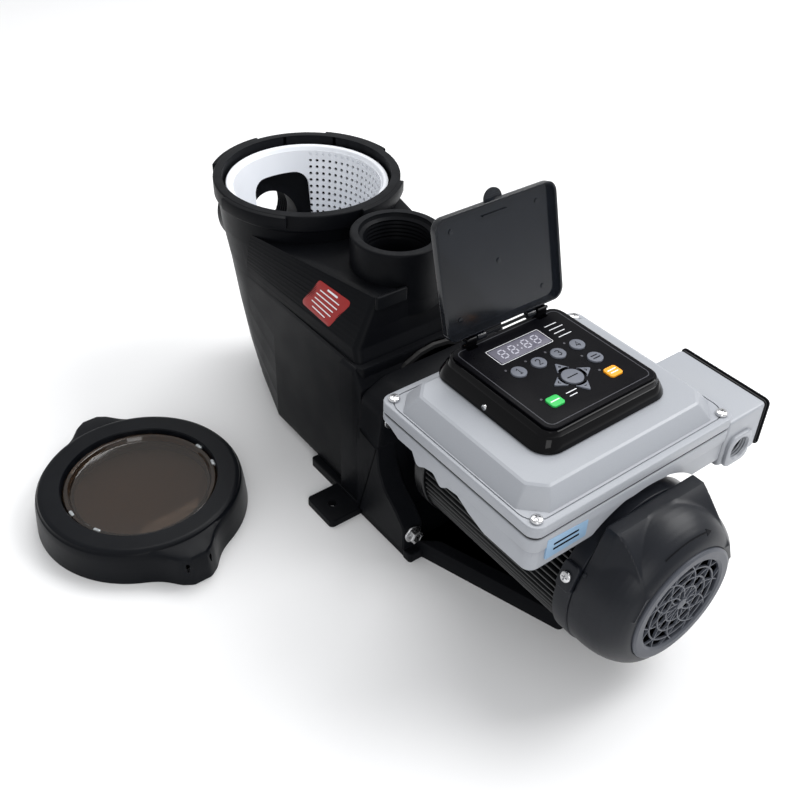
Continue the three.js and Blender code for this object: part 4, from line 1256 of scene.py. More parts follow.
def pan_screw(radius: float = 5.0, height: float = 3.2, length: float = 8.0) -> Shell:
    """A cross-recessed screw seated on z = 0: a domed head, a recess of two tapering slots, and its shank.

    Args:
        radius: radius of the head.
        height: height of the head.
        length: length of the shank.

    Returns:
        The screw, along Z.
    """
    head = turned([(0, -0.1), (radius, -0.1), (radius * 0.92, height * 0.72), (0, height)], [0, 0.4, 1.4, 0],
                  48,
                  ring=False)
    slots = [plate(radius * 1.15, radius * 0.24, 0.3, height - 1.9, height + 1).rolled(turn, "Z")
             for turn in (0, 90)]
    return shell_of(fused("screw_head", head, cut=slots)) + rod(2.2, -length, 0.0, 0.3, 20)


def soft_least(a: np.ndarray, b: np.ndarray, blend: float) -> np.ndarray:
    """The lesser of two distances, rounded over where they are within the blend of each other."""
    closeness = np.clip(1 - np.abs(a - b) / blend, 0, None)
    return np.minimum(a, b) - closeness ** 2 * blend / 4


@dataclass
class Motor:
    """The finned shell with the rings at its ends."""

    shell_start: float = 98.3
    shell_end: float = 262.3
    root_radius: float = 66.0
    fin_radius: float = 73.0
    fins: int = 76

    def fin_outline(self) -> np.ndarray:
        """The finned outline: each fin is a narrow trapezium on the root circle with a rounded tip."""
        middle = np.arange(self.fins)[:, None] * 2 * np.pi / self.fins
        turn = np.array([-0.026, -0.0135, -0.009, 0, 0.009, 0.0135, 0.026])
        radius = np.array([self.root_radius, self.fin_radius - 0.9, self.fin_radius - 0.2, self.fin_radius,
                           self.fin_radius - 0.2, self.fin_radius - 0.9, self.root_radius])
        angle = (middle + turn).ravel()
        return np.stack([np.cos(angle), np.sin(angle)], -1) * np.tile(radius, self.fins)[:, None]

    def shell(self) -> bpy.types.Mesh:
        """The finned tube, closed inside by its bore, with the pedestal that carries the drive box."""
        outline = self.fin_outline()
        bore = outline / np.linalg.norm(outline, axis=1)[:, None] * 62
        start, end = self.shell_start, self.shell_end
        rows = [lifted(ring, x)
                for ring, x in ((outline * 0.985, start), (outline, start + 1), (outline, end - 1),
                                (outline * 0.985, end), (bore, end), (bore, start))]
        tube_shell = loft(np.stack(rows), ring=True).faced(Facing.ALONG_X)
        pedestal = plate(60, 52, 4, 64, 86.7, 0.8, (183.5, 0))
        return fused("finned_shell", tube_shell, [pedestal])

    def drive_end(self) -> Shell:
        """The drive end bell: a bearing cup, a sloping wall and the rim that the shell sits in."""
        corners = [(20.3, 82), (20.3, 97), (24, 97), (26, 90), (58, 88), (61, 97.6), (74, 97.6), (75, 96.6),
                   (75, 86), (60, 66), (52, 62), (30, 62), (24, 79), (10, 79), (10, 82)]
        return turned(corners, [0.3, 0.3, 0.3, 1, 1, 0.6, 0.8, 0.6, 2, 3, 3, 3, 1, 0.3, 0.3],
                      144).faced(Facing.ALONG_X)

    def rear_end(self) -> bpy.types.Mesh:
        """The rear end bell: outer ring, web, bearing cup and the two screw ears."""
        ring = turned([(76, 262.6), (76, 277.4), (74.6, 278), (61, 278), (61, 262.6)],
                      [0.8, 0.6, 0.5, 0.6, 0.6], 144)
        web = tube(24, 62, 270, 274, 0.8)
        hub = turned([(26, 262.6), (26, 278), (10, 278), (10, 275), (20.3, 275), (20.3, 262.6)], 0.5, 96)
        ears = [plate(15.4, 24, 3, 66, 79, 1.2, (EAR_X, 0)).rolled(turn, "X") for turn in (EAR_TURN, -EAR_TURN)]
        holes = [rod(2.6, 60, 81, 0, 24).moved(EAR_X).rolled(turn, "X") for turn in (EAR_TURN, -EAR_TURN)]
        parts = [part.faced(Facing.ALONG_X) for part in (ring, web, hub)]
        return fused("rear_bell", parts[0], [*parts[1:], *ears], [together(holes)])

    def build(self) -> None:
        """Makes the shell and both bells."""
        lift = Matrix.Translation((0, 0, SHAFT_Z * MM))
        for name, mesh, node, finish, slot in (
                ("finned_shell", self.shell(), "motor_shell", MOTOR_BLACK, "motor_paint"),
                ("drive_end_ring", as_mesh("drive_end_ring", self.drive_end()), "drive_end_bell", MOTOR_BLACK,
                 "motor_paint"),
                ("rear_bell", self.rear_end(), "rear_end_bell", COVER_GREY, "cover_plastic")):
            mesh.transform(lift)
            add_piece(name, mesh, finish, Body.PUMP, [node], 30)


@dataclass
class FanEnd:
    """The fan cover with its raised hood, the web grille and the two radial screws."""

    start: float = 278.3
    seat_radius: float = 53.7
    mouth_radius: float = 43.6
    grille_radius: float = 53.4
    grille_face: float = 328.5
    ear_top: float = 79.3

    def cover_radius(self, x: np.ndarray) -> np.ndarray:
        """Radius of the drum: straight, then a wide rounded shoulder, then the shallow cone to the grille."""
        stations = [278, 290, 296, 302, 308, 313, 317.5, 321, 323.6, 325.2, 326]
        radii = [75, 74.8, 74.2, 73.1, 71.3, 69, 66.3, 63.4, 60.2, 57, 54.2]
        return np.interp(x, stations, radii)

    def hood_radius(self, x: np.ndarray, angle: np.ndarray) -> np.ndarray:
        """Radius of the hood in the direction at an angle from straight up.

        The flat top at height t is t / cos a away, and each sloping side, at distance s from the shaft with its
        normal 67 degrees from upright, is s / cos(a - 67 degrees) away. Both draw in from the crest forward.

        Args:
            x: distance along the shaft.
            angle: angle from straight up, in radians.

        Returns:
            The radius, or 0 where there is no hood.
        """
        past = np.clip(x - 289.5, 0, None)
        top = 74.3 - 0.62 * past - 0.012 * past ** 2
        side = 73.2 - 0.42 * past
        tilt = np.abs(angle)
        up = top / np.maximum(np.cos(tilt), 0.05)
        across = side / np.maximum(np.cos(tilt - np.radians(67.3)), 0.05)
        return np.where(tilt < np.radians(75), soft_least(up, across, 1.2), 0.0)

    def surface_radius(self, x: np.ndarray, angle: np.ndarray) -> np.ndarray:
        """Outer radius of the cover: the greater of drum and hood, with a small fillet between them."""
        return -soft_least(-self.cover_radius(x) + 0 * angle, -self.hood_radius(x, angle), 0.9)

    def cover(self) -> Shell:
        """The cover as one closed grid: outside from back to front, face, grille seat, mouth and inside."""
        angle = np.linspace(0, 2 * np.pi, 360, endpoint=False)
        signed = (angle + np.pi) % (2 * np.pi) - np.pi
        stations = np.unique(np.concatenate([[self.start, self.start + 0.25, self.start + 0.7],
                                             np.arange(280, 296, 1.6), np.arange(296, 326, 1.0),
                                             [325.6, 325.9]]))
        edge = np.interp(stations, [self.start, self.start + 0.25, self.start + 0.7], [0.7, 0.2, 0])
        radius = self.surface_radius(stations[:, None], signed[None, :]) - edge[:, None]
        profile = np.array([(54.5, 326), (self.seat_radius, 325.8), (self.seat_radius, 324),
                            (self.mouth_radius, 324),
                            (self.mouth_radius, 321.5), (59, 321.5), (67, 308), (70.8, 292),
                            (70.8, self.start)])
        radius = np.vstack([radius, np.repeat(profile[:, :1], len(angle), 1)])
        x = np.concatenate([stations, profile[:, 1]])
        points = np.stack([np.repeat(x[:, None], len(angle), 1), -radius * np.sin(angle),
                           radius * np.cos(angle)], -1)
        return loft(points, ring=True)

    def on_surface(self, bearing: np.ndarray, x: np.ndarray, proud: float) -> np.ndarray:
        """Points on the cover at bearings from straight up towards -Y, standing off it by a height."""
        radius = self.surface_radius(x, bearing) + proud
        return np.stack([x, -radius * np.sin(bearing), radius * np.cos(bearing)], -1)

    def turn_mark(self) -> Shell:
        """The raised arrow beside the grille that shows which way the shaft turns."""
        bearing = np.radians(np.linspace(24, -18, 22))
        low, high = np.full(22, 319.2), np.full(22, 320.2)
        rows = [self.on_surface(bearing, x, proud) for x, proud in ((low, -0.3), (low, 0.5), (high, 0.5),
                                                                    (high, -0.3))]
        bar = loft(np.stack(rows, 1))
        head = np.array([(-17, 317.6), (-23, 319.7), (-17, 321.8)])
        tip = loft(np.stack([self.on_surface(np.radians(head[:, 0]), head[:, 1], proud)
                             for proud in (-0.3, 0.5)]))
        return bar + tip

    def ribbon(self, path: np.ndarray, width: float, low: float, high: float) -> Shell:
        """A flat bar along a plane path, its edges half a width to either side along the path's normal.

        Args:
            path: the points of its middle line.
            width: its width at the foot.
            low: height of its underside.
            high: height of its narrower face.

        Returns:
            The closed bar.
        """
        run = np.gradient(path, axis=0)
        side = np.stack([-run[:, 1], run[:, 0]], -1) / np.linalg.norm(run, axis=1)[:, None] * width / 2
        corners = [(path - side, low), (path + side, low), (path + side * 0.7, high), (path - side * 0.7, high)]
        rows = np.stack([lifted(at, level) for at, level in corners], 1)
        return loft(rows)

    def grille(self) -> Shell:
        """The rim and web: rings, and two families of spiral bars leaning opposite ways."""
        rim = turned([(self.grille_radius, 324.3), (self.grille_radius, self.grille_face - 0.9),
                      (51, self.grille_face),
                      (45, self.grille_face), (42.6, 327.2), (42.6, 324.3)], [0.3, 0.8, 0.8, 0.8, 0.6, 0.3],
                      144)
        parts = [rim, rod(5.2, 324.6, 327.6, 0.6, 32)]
        parts += [tube(radius - 0.75, radius + 0.75, 324.8, 326.9, 0.3, 72) for radius in (17.0, 26.5, 35.5)]
        k = np.linspace(0, 1, 18)
        for lean, inner, count in ((1, 4.0, 10), (-1, 4.0, 10)):
            radius = inner + (43.2 - inner) * k
            for index in range(count):
                angle = 2 * np.pi * (index + (0.5 if lean < 0 else 0)) / count + lean * 0.95 * k ** 0.85
                path = np.stack([np.cos(angle), np.sin(angle)], -1) * radius[:, None]
                parts.append(self.ribbon(path, 1.45, 324.9, 326.8 + 0.15 * lean))
        return together(parts).faced(Facing.ALONG_X)

    def build(self) -> None:
        """Makes the cover, its mark, the grille and the screws."""
        dots = [rod(2.0, -1, 1.1, 1.0, 20).moved(281, 0, 75).rolled(turn, "X") for turn in (62, -62)]
        add_piece("fan_hood", self.cover().moved(z=SHAFT_Z), COVER_GREY, Body.PUMP, ["fan_cover"],
                  26)
        add_piece("cover_beads", together(dots).moved(z=SHAFT_Z), COVER_GREY, Body.PUMP, ())
        add_piece("turn_arrow", self.turn_mark().moved(z=SHAFT_Z), WET_BLACK, Body.PUMP)
        add_piece("web_grille", self.grille().moved(z=SHAFT_Z), GRILLE_GREY, Body.PUMP, ["fan_grille"],
                  35)
        screw = pan_screw(5, 3.2, 12)
        for index, turn in enumerate((EAR_TURN, -EAR_TURN), 1):
            add_piece(f"ear_screw_{index}", screw.moved(EAR_X, 0, self.ear_top).rolled(turn,
                                                                                       "X").moved(z=SHAFT_Z),
                      BRIGHT_STEEL, Body.PUMP, [f"fan_cover_screw_{index}"], 35)


# ---- drive box ---------------------------------------------------------------------------------------


@dataclass
class DriveBox:
    """The pale box on the motor: lower casting with its wiring box, gasket, stepped lid and screws."""

    middle_x: float = 183.5
    middle_y: float = -12.6
    length: float = 181.0
    width: float = 218.0
    bottom: float = 163.0
    seam: float = 196.0
    lid_seat: float = 198.6
    lid_flange: float = 208.0
    top: float = 222.0
    wiring: tuple[float, float, float, float, float, float] = (184.0, 274.0, 96.4, 136.5, 156.0, 202.0)
    conduit: tuple[float, float, float] = (109.5, 169.0, 10.0)
    screw_places: tuple[tuple[float, float], ...] = ((-82, -99.6), (82, -99.6), (82, 99.6), (-82, 99.6))
    keypad_middle: tuple[float, float] = (169.0, -9.0)

    def box(self, shrink: float, corner: float, low: float, high: float, edge: float = 0.0,
            low_edge: float = 0.0) -> Shell:
        """A slab of the box's plan, drawn in on every side by an amount."""
        return plate(self.length - 2 * shrink, self.width - 2 * shrink, corner, low, high, edge,
                     (self.middle_x, self.middle_y), low_edge)

    def side_scallops(self) -> Shell:
        """What is missing under the casting's -Y skirt: steps and hollows that climb towards the pump."""
        edge = [(80, 150), (236, 150), (226, 164), (206, 171), (192, 178.5), (180, 177), (172, 171),
                (163, 179.5),
                (152, 177), (143, 171.5), (136, 183.5), (122, 183.5), (108, 190), (80, 193)]
        path = rounded(edge, [0.3, 0.3, 8, 12, 5, 4, 4, 5, 5, 4, 3, 5, 8, 0.3], 4)
        return slab(path, [(100, 0), (130, 0)]).faced(Facing.ACROSS)

    def casting(self) -> bpy.types.Mesh:
        """The lower casting: a skirt that saddles the motor, a bead below its seam, and the wiring box."""
        x0, x1, y0, y1, z0, z1 = self.wiring
        skirt = self.box(1.2, 9, self.bottom, self.seam - 1, 0, 2.5)
        band = self.box(0, 10, self.seam - 12.5, self.seam, 1.0, 1.4)
        wiring = plate(x1 - x0, y1 - y0 + 8, 4, z0, z1, 2.5, ((x0 + x1) / 2, (y0 + y1) / 2 - 4), 2.5)
        y, z, radius = self.conduit
        pad = slab(rectangle(30, 31, 8, (y - 1, z - 0.5)),
                   [(x1 - 3, 0), (x1 + 1.8, 0), (x1 + 2.6, 0.4), (x1 + 3, 1.1)])
        posts = together([rod(7.2, self.seam - 22, self.seam - 0.4, 1.5).moved(self.middle_x + x,
                                                                               self.middle_y + y)
                          for x, y in self.screw_places])
        threads = [(radius + (0.9 if step % 2 else 0.0), x1 - 8 + step * 1.1) for step in range(9)]
        thread = turned([(0, x1 - 14), (radius, x1 - 14), *threads, (radius + 1.4, x1 + 3.2),
                         (radius + 1.4, x1 + 5), (0, x1 + 5)],
                        0.0, 64, ring=False, steps=1)
        body = fused("casting", skirt, [band, wiring, pad.faced(Facing.ALONG_X), posts])
        saddle = rod(86, 60, 300, 0, 160).on_shaft()
        under = self.box(5, 6, self.bottom - 1, 184)
        hollow = self.box(7, 6, 190, self.seam + 1)
        pocket = plate(x1 - x0 - 8, y1 - y0 - 1, 3, z0 + 4, z1 - 4, 0, ((x0 + x1) / 2, (y0 + y1) / 2 + 1.5))
        return fused("casting", body, cut=[saddle, under, hollow, pocket,
                                           thread.faced(Facing.ALONG_X).moved(0, y, z),
                                           self.side_scallops()])

    def plateau(self) -> Shell:
        """The lid's raised middle: an octagon that narrows upwards, with softened corners at every height."""
        rows = []
        for height, x, y, corner, soft in ((self.lid_flange - 1, 82.6, 104.6, 17.5, 3),
                                           (self.lid_flange + 0.6, 81.6, 103.6, 17, 3),
                                           (self.top - 3.2, 74.5, 94.8, 13.5, 4),
                                           (self.top - 0.9, 72.4, 92.5, 12.4, 5),
                                           (self.top, 70.2, 90.2, 11.5, 5)):
            corners = [(-x + corner, -y), (x - corner, -y), (x, -y + corner), (x, y - corner), (x - corner, y),
                       (-x + corner, y), (-x, y - corner), (-x, -y + corner)]
            outline = rounded(corners, soft, 5) + np.array([self.middle_x, self.middle_y])
            rows.append(lifted(outline, height))
        return loft(np.stack(rows))

    def lid(self) -> bpy.types.Mesh:
        """The lid: flange, plateau, sealing groove round it, and what is hollow under it."""
        flange = self.box(0, 10, self.lid_seat, self.lid_flange, 1.2, 0.5)
        groove_outer = plate(170.4, 212.4, 16, self.lid_flange - 0.9, self.lid_flange + 2, 0,
                             (self.middle_x, self.middle_y))
        groove_inner = plate(168.2, 210.2, 15, self.lid_flange - 2, self.lid_flange + 3, 0,
                             (self.middle_x, self.middle_y))
        groove = shell_of(fused("groove", groove_outer, cut=[groove_inner]))
        hollow = self.box(21, 6, self.lid_seat - 2, self.top - 4)
        mouth = plate(104, 104, 6, self.top - 10, self.top + 2, 0, self.keypad_middle)
        holes = together([rod(2.6, self.seam, self.lid_flange + 2, 0, 24).moved(self.middle_x + x,
                                                                                self.middle_y + y)
                          for x, y in self.screw_places])
        body = fused("lid_flange", flange, cut=[groove])
        return fused("box_lid", body, [self.plateau()], [hollow, mouth, holes])

    def gasket(self) -> bpy.types.Mesh:
        """The thin gasket in the seam."""
        return fused("seam_gasket", self.box(0.9, 9, self.seam + 0.3, self.seam + 2.3, 0.5, 0.5),
                     cut=[self.box(6, 6, self.seam - 1, self.seam + 4)])

    def sticker(self, outline: np.ndarray, low: float, high: float, facing: Facing) -> Shell:
        """A thin sticker with its edge worn round."""
        return slab(outline, [(low, 0), (high - 0.05, 0), (high, 0.1)]).faced(facing)

    def build(self) -> None:
        """Makes the castings, gaskets, wiring cover, screws and plain stickers."""
        add_piece("drive_casting", self.casting(), DRIVE_GREY, Body.PUMP, ["drive_base"], 30)
        add_piece("drive_box_lid", self.lid(), DRIVE_GREY, Body.PUMP, ["drive_lid"], 12)
        add_piece("seam_gasket", self.gasket(), RUBBER_BLACK, Body.PUMP, ["drive_gasket"])
        screw = pan_screw(5, 3.2, 8)
        for index, (x, y) in enumerate(self.screw_places, 1):
            add_piece(f"lid_corner_screw_{index}",
                      screw.rolled(index * 37, "Z").moved(self.middle_x + x, self.middle_y + y,
                                                          self.lid_flange + 0.3),
                      BRIGHT_STEEL, Body.PUMP, [f"drive_lid_screw_{index}"], 35)
        x0, x1, _, y1, z0, z1 = self.wiring
        middle = ((x0 + x1) / 2, (z0 + z1) / 2)
        cover = slab(rectangle(z1 - z0 + 2, x1 - x0 + 2, 5, (middle[1], middle[0])),
                     [(y1 + 2.3, 0.3), (y1 + 2.6, 0), (y1 + 3.5, 0), (y1 + 3.8, 0.3), (y1 + 4.0, 0.9)])
        add_piece("wiring_plate", cover.faced(Facing.ALONG_Y), LID_BLACK, Body.PUMP, ["wiring_cover"])
        rim = slab(rectangle(z1 - z0 - 0.6, x1 - x0 - 0.6, 4, (middle[1], middle[0])),
                   [(y1 + 0.3, 0.5), (y1 + 0.6, 0), (y1 + 1.7, 0), (y1 + 2, 0.4)])
        add_piece("wiring_seal", rim.faced(Facing.ALONG_Y), RUBBER_BLACK, Body.PUMP, ["wiring_gasket"])
        small = pan_screw(3.4, 1.5, 5).faced(Facing.ALONG_Y)
        for index, (x, z) in enumerate(((x0 + 6, z0 + 6), (x1 - 6, z0 + 6), (x1 - 6, z1 - 6),
                                        (x0 + 6, z1 - 6)), 1):
            add_piece(f"wiring_screw_{index}", small.moved(x, y1 + 4.0, z), BRIGHT_STEEL, Body.PUMP, (),
                      35)
        blue = rounded([(-107, 172), (-66, 172), (-66, 189), (-107, 192)], 1.2, 4)
        add_piece("end_sticker", self.sticker(blue, 272.6, 274.25, Facing.ALONG_X), LABEL_BLUE, Body.PUMP)
        stripes = together([slab(rounded([(a, z), (b, z - 0.4), (b, z + 1.6), (a, z + 2)], 0.5, 3),
                                 [(274.2, 0), (274.36, 0)])
                            .faced(Facing.ALONG_X) for a, b, z in ((-100, -75, 183), (-100, -74, 178))])
        add_piece("end_sticker_bars", stripes, PANEL_FILM, Body.PUMP)
        plan = rounded([(203, 209.4), (234, 209.4), (238, 217.5), (208, 217.5)], 1.2, 4)
        slope = np.stack([plan[:, 0], 91 - 0.863 * (plan[:, 1] - 208.6), plan[:, 1]], -1)
        outward = np.array([0, 0.757, 0.654])
        add_piece("deck_sticker", loft(np.stack([slope - 0.3 * outward, slope + 0.25 * outward])), LABEL_YELLOW,
                  Body.PUMP)


# ---- keypad ------------------------------------------------------------------------------------------

STROKES = {
    "1": [[(-0.35, 0.55), (0.1, 1), (0.1, -1)], [(-0.35, -1), (0.5, -1)]],
    "2": [[(-0.55, 0.6), (-0.25, 1), (0.3, 1), (0.55, 0.6), (0.45, 0.15), (-0.55, -1), (0.6, -1)]],
    "3": [[(-0.5, 0.8), (0, 1), (0.5, 0.7), (0.45, 0.2), (0, 0.05), (0.5, -0.15), (0.55, -0.7), (0, -1),
           (-0.55, -0.8)]],
    "4": [[(0.3, -1), (0.3, 1), (-0.6, -0.4), (0.65, -0.4)]],
    "+": [[(-0.6, 0), (0.6, 0)], [(0, -0.6), (0, 0.6)]],
    "-": [[(-0.6, 0), (0.6, 0)]],
    "<": [[(0.35, 0.7), (-0.4, 0), (0.35, -0.7)]],
    ">": [[(-0.35, 0.7), (0.4, 0), (-0.35, -0.7)]],
}


def stroke(path: Sequence[Sequence[float]], width: float, low: float, high: float) -> Shell:
    """A thin printed line: the path widened by half the width to both sides, mitred at its bends.

    Args:
        path: the points that the line runs through.
        width: its width.
        low: height of its underside.
        high: height of its face.

    Returns:
        The closed line.
    """
    at = np.array(path, float)
    run = np.diff(at, axis=0)
    normal = np.stack([-run[:, 1], run[:, 0]], -1) / np.linalg.norm(run, axis=1)[:, None]
    before, after = np.vstack([normal[:1], normal]), np.vstack([normal, normal[-1:]])
    spread = np.maximum(1 + (before * after).sum(1), 0.5)[:, None]
    side = (before + after) / spread * width / 2
    outline = np.vstack([at - side, (at + side)[::-1]])
    return slab(outline, [(low, 0), (high, 0)])


def printed_ring(outer: np.ndarray, width: float, level: float, rise: float = INK_RISE) -> Shell:
    """A printed line just inside a closed outline.

    Args:
        outer: the line's outer edge.
        width: its width.
        level: height of the surface that it is printed on.
        rise: how far it stands off that surface.

    Returns:
        The line, which also reaches a little way under the surface.
    """
    inner, low, high = inset(outer, width), level - INK_ROOT, level + rise
    edges = ((outer, low), (outer, high), (inner, high), (inner, low))
    return loft(np.stack([lifted(line, at) for line, at in edges]), ring=True)


@dataclass(frozen=True)
class Key:
    """One key of the pad: its body, outline, place, finish and the sign printed on it."""

    body: str
    outline: np.ndarray
    place: tuple[float, float]
    finish: MouldedFinish
    sign: str = ""
    slot: str = "key_grey"


@dataclass
class Keypad:
    """The glossy bezel, the printed panel with its display, and the keys."""

    middle: tuple[float, float] = (169.0, -9.0)
    foot: float = 222.3
    panel_low: float = 238.3
    panel_top: float = 240.0
    key_low: float = 236.0
    key_top: float = 241.2
    arrow_middle: tuple[float, float] = (190.0, -8.5)
    display_middle: tuple[float, float] = (137.3, -15.0)
    post_places: tuple[float, float] = (-38.0, 38.0)

    def reading(self, at: np.ndarray, place: tuple[float, float]) -> np.ndarray:
        """Sign coordinates, right and up for a reader on the +X side, set down at a place on the panel."""
        return np.stack([place[0] - at[:, 1], place[1] + at[:, 0]], -1)

    def sign(self, letter: str, place: tuple[float, float], size: float, level: float,
             width: float = 0.75) -> Shell:
        """A printed sign of one or more strokes."""
        return together([stroke(self.reading(np.array(path) * size, place), width, level - INK_ROOT,
                                level + INK_RISE)
                         for path in STROKES[letter]])

    def bar(self, place: tuple[float, float], along: float, across: float, level: float) -> Shell:
        """A printed bar, longest in the reading direction, standing for a word."""
        return plate(across, along, 0.4, level - INK_ROOT, level + INK_RISE, 0, place)

    def arrow(self, heading: float) -> np.ndarray:
        """The outline of one of the four arrow keys: a point, two straight sides and a base curved round the centre.

        Args:
            heading: bearing of its point, in degrees.

        Returns:
            The points going anticlockwise about the pad's centre.
        """
        tip, *base = ((r * math.cos(math.radians(heading + a)), r * math.sin(math.radians(heading + a)))
                      for r, a in ((20, 0), (11.6, 34), (11.6, -34)))
        angle = np.radians(heading + np.linspace(24, -24, 7))
        triangle = rounded([tip, *base], [1.0, 0.7, 0.7], 3)
        return np.vstack([triangle[:8], np.stack([np.cos(angle), np.sin(angle)], -1) * 11.6, triangle[8:]])

    def keys(self) -> list[Key]:
        """All twelve keys."""
        ring = circle(6.5, 56)
        made = [Key(f"speed_button_{n}", ring, (162, y), KEY_GREY, str(n))
                for n, y in ((1, -38.5), (2, -17.5), (3, 3.5), (4, 24.5))]
        made += [Key("quick_clean_button", ring, (182.5, 24), KEY_GREY),
                 Key("menu_button", rectangle(11.2, 12.4, 2.6), (204, -40.5), KEY_GREEN, slot="key_green"),
                 Key("start_stop_button", rectangle(11.2, 12.8, 2.5), (203.5, 22), KEY_ORANGE,
                     slot="key_orange"),
                 Key("display_button", circle(9, 64), self.arrow_middle, KEY_GREY)]
        for name, heading, letter in (("arrow_button_up", 180, "+"), ("arrow_button_right", 90, ">"),
                                      ("arrow_button_down", 0, "-"), ("arrow_button_left", -90, "<")):
            made.append(Key(name, self.arrow(heading), self.arrow_middle, KEY_GREY, letter))
        return made

    def bezel(self) -> bpy.types.Mesh:
        """The bezel: sections of round-cornered rectangles from its foot to its rim, hollow round the panel."""
        sections = ((self.foot, 132, 138, 18), (self.foot + 0.6, 132.6, 138.6, 18.3),
                    (self.foot + 2.2, 132, 138, 18),
                    (228.6, 128.4, 133.6, 16.6), (232.2, 125.6, 129, 15.2), (233.0, 124.4, 127.4, 14.6),
                    (233.5, 122.8, 125.8, 14), (236.4, 121.4, 123.8, 13.2), (237.6, 120.2, 122.4, 12.4),
                    (238.05, 118.6, 120.8, 11.6), (238.0, 116.6, 118.8, 10.6))
        rows = []
        for height, x, y, corner in sections:
            outline = rectangle(x, y, corner, self.middle, 8)
            rows.append(lifted(outline, height))
        body = loft(np.stack(rows))
        x, _, z = HINGE
        posts = []
        for side in self.post_places:
            post = rounded([(-4.8, 233 - z), (4.8, 233 - z), (3.4, 0), (3.4, 3.3), (-3.4, 3.3), (-3.4, 0)],
                           [0.3, 0.3, 3, 3.3, 3.3, 3], 5)
            posts.append(slab(post[::-1] * [-1, 1], edge_levels(-5, 5, 0.6, 0.6)).faced(Facing.ACROSS)
                         .moved(x, self.middle[1] + side, z))
        ears = [rod(3.4, -5, 5, 0.6).faced(Facing.ALONG_Y).moved(x, self.middle[1] + side, z)
                for side in self.post_places]
        hollow = plate(106, 106, 6, 215, 245, 0, self.middle)
        pin = rod(PIN_RADIUS, -70, 70, 0, 24).faced(Facing.ALONG_Y).moved(x, self.middle[1], z)
        return fused("bezel", body, [*posts, *ears], [hollow, pin])

    def panel(self) -> bpy.types.Mesh:
        """The panel with a hole for every key and for the display, and room for the hinge."""
        body = plate(116, 116, 9, self.panel_low, self.panel_top, 0.4, self.middle)
        holes = [slab(inset(key.outline, -0.4) + np.array(key.place), [(230, 0), (245, 0)])
                 for key in self.keys()]
        display = plate(18.1, 53.6, 1.2, 230, 245, 0, self.display_middle)
        x, _, z = HINGE
        room = together([rod(4.9, -6.2, 6.2, 0, 40).faced(Facing.ALONG_Y).moved(x, self.middle[1] + y, z)
                         for y in self.post_places])
        swing = together([rod(4.9, -5.6, 5.6, 0, 40).faced(Facing.ALONG_Y).moved(x, self.middle[1] + y, z)
                          for y in (-27, 27)])
        feet = together([plate(11, 11, 1, 230, 245, 0, (x, self.middle[1] + y)) for y in self.post_places])
        return fused("key_panel", body, cut=[*holes, display, room, swing, feet])

    def printing(self) -> Shell:
        """The pale print on the panel: border line, display frame and short bars where words would be."""
        level = self.panel_top
        marks = [self.bar((129 + 5.6 * row, 20 + length / 2), length, 0.85, level)
                 for row, length in enumerate((13, 15, 12, 14))]
        marks += [self.bar((204 + 2 * row, -27 + length / 2), length, 0.8, level) for row,
                  length in ((-1, 11), (1, 8))]
        marks.append(printed_ring(rectangle(20.4, 56, 1.6, self.display_middle), 0.55, level))
        return together(marks)

    def border(self) -> Shell:
        """The thin grey line printed round the panel's edge."""
        return printed_ring(rectangle(108.6, 108.6, 6, self.middle), 0.7, self.panel_top, 0.05)

    def digits(self) -> Shell:
        """Four seven-segment digits and a colon, slanted as on a clock, all their segments faint."""
        segments = []
        level = self.panel_top + 0.2
        for index in range(4):
            centre = self.display_middle[1] + (index - 1.5) * 10.6 + (1.6 if index > 1 else -1.6)
            for ends in (((-1, 1), (1, 1)), ((-1, 0), (1, 0)), ((-1, -1), (1, -1)), ((-1, 1), (-1, 0)),
                         ((1, 1), (1, 0)),
                         ((-1, 0), (-1, -1)), ((1, 0), (1, -1))):
                at = np.array(ends, float)
                trim = 0.8 * (at[1] - at[0]) / np.linalg.norm(at[1] - at[0])
                at = at * [2.8, 5.0]
                at[0] += trim
                at[1] -= trim
                at[:, 0] += at[:, 1] * 0.1
                segments.append(stroke(self.reading(at, (self.display_middle[0], centre)), 1.15,
                                       level - INK_ROOT, level + 0.06))
        x, y = self.display_middle
        dots = [slab(circle(0.75, 16, (x + step, y)), [(level - INK_ROOT, 0), (level + 0.06, 0)])
                for step in (-2.4, 2.4)]
        return together([*segments, *dots])

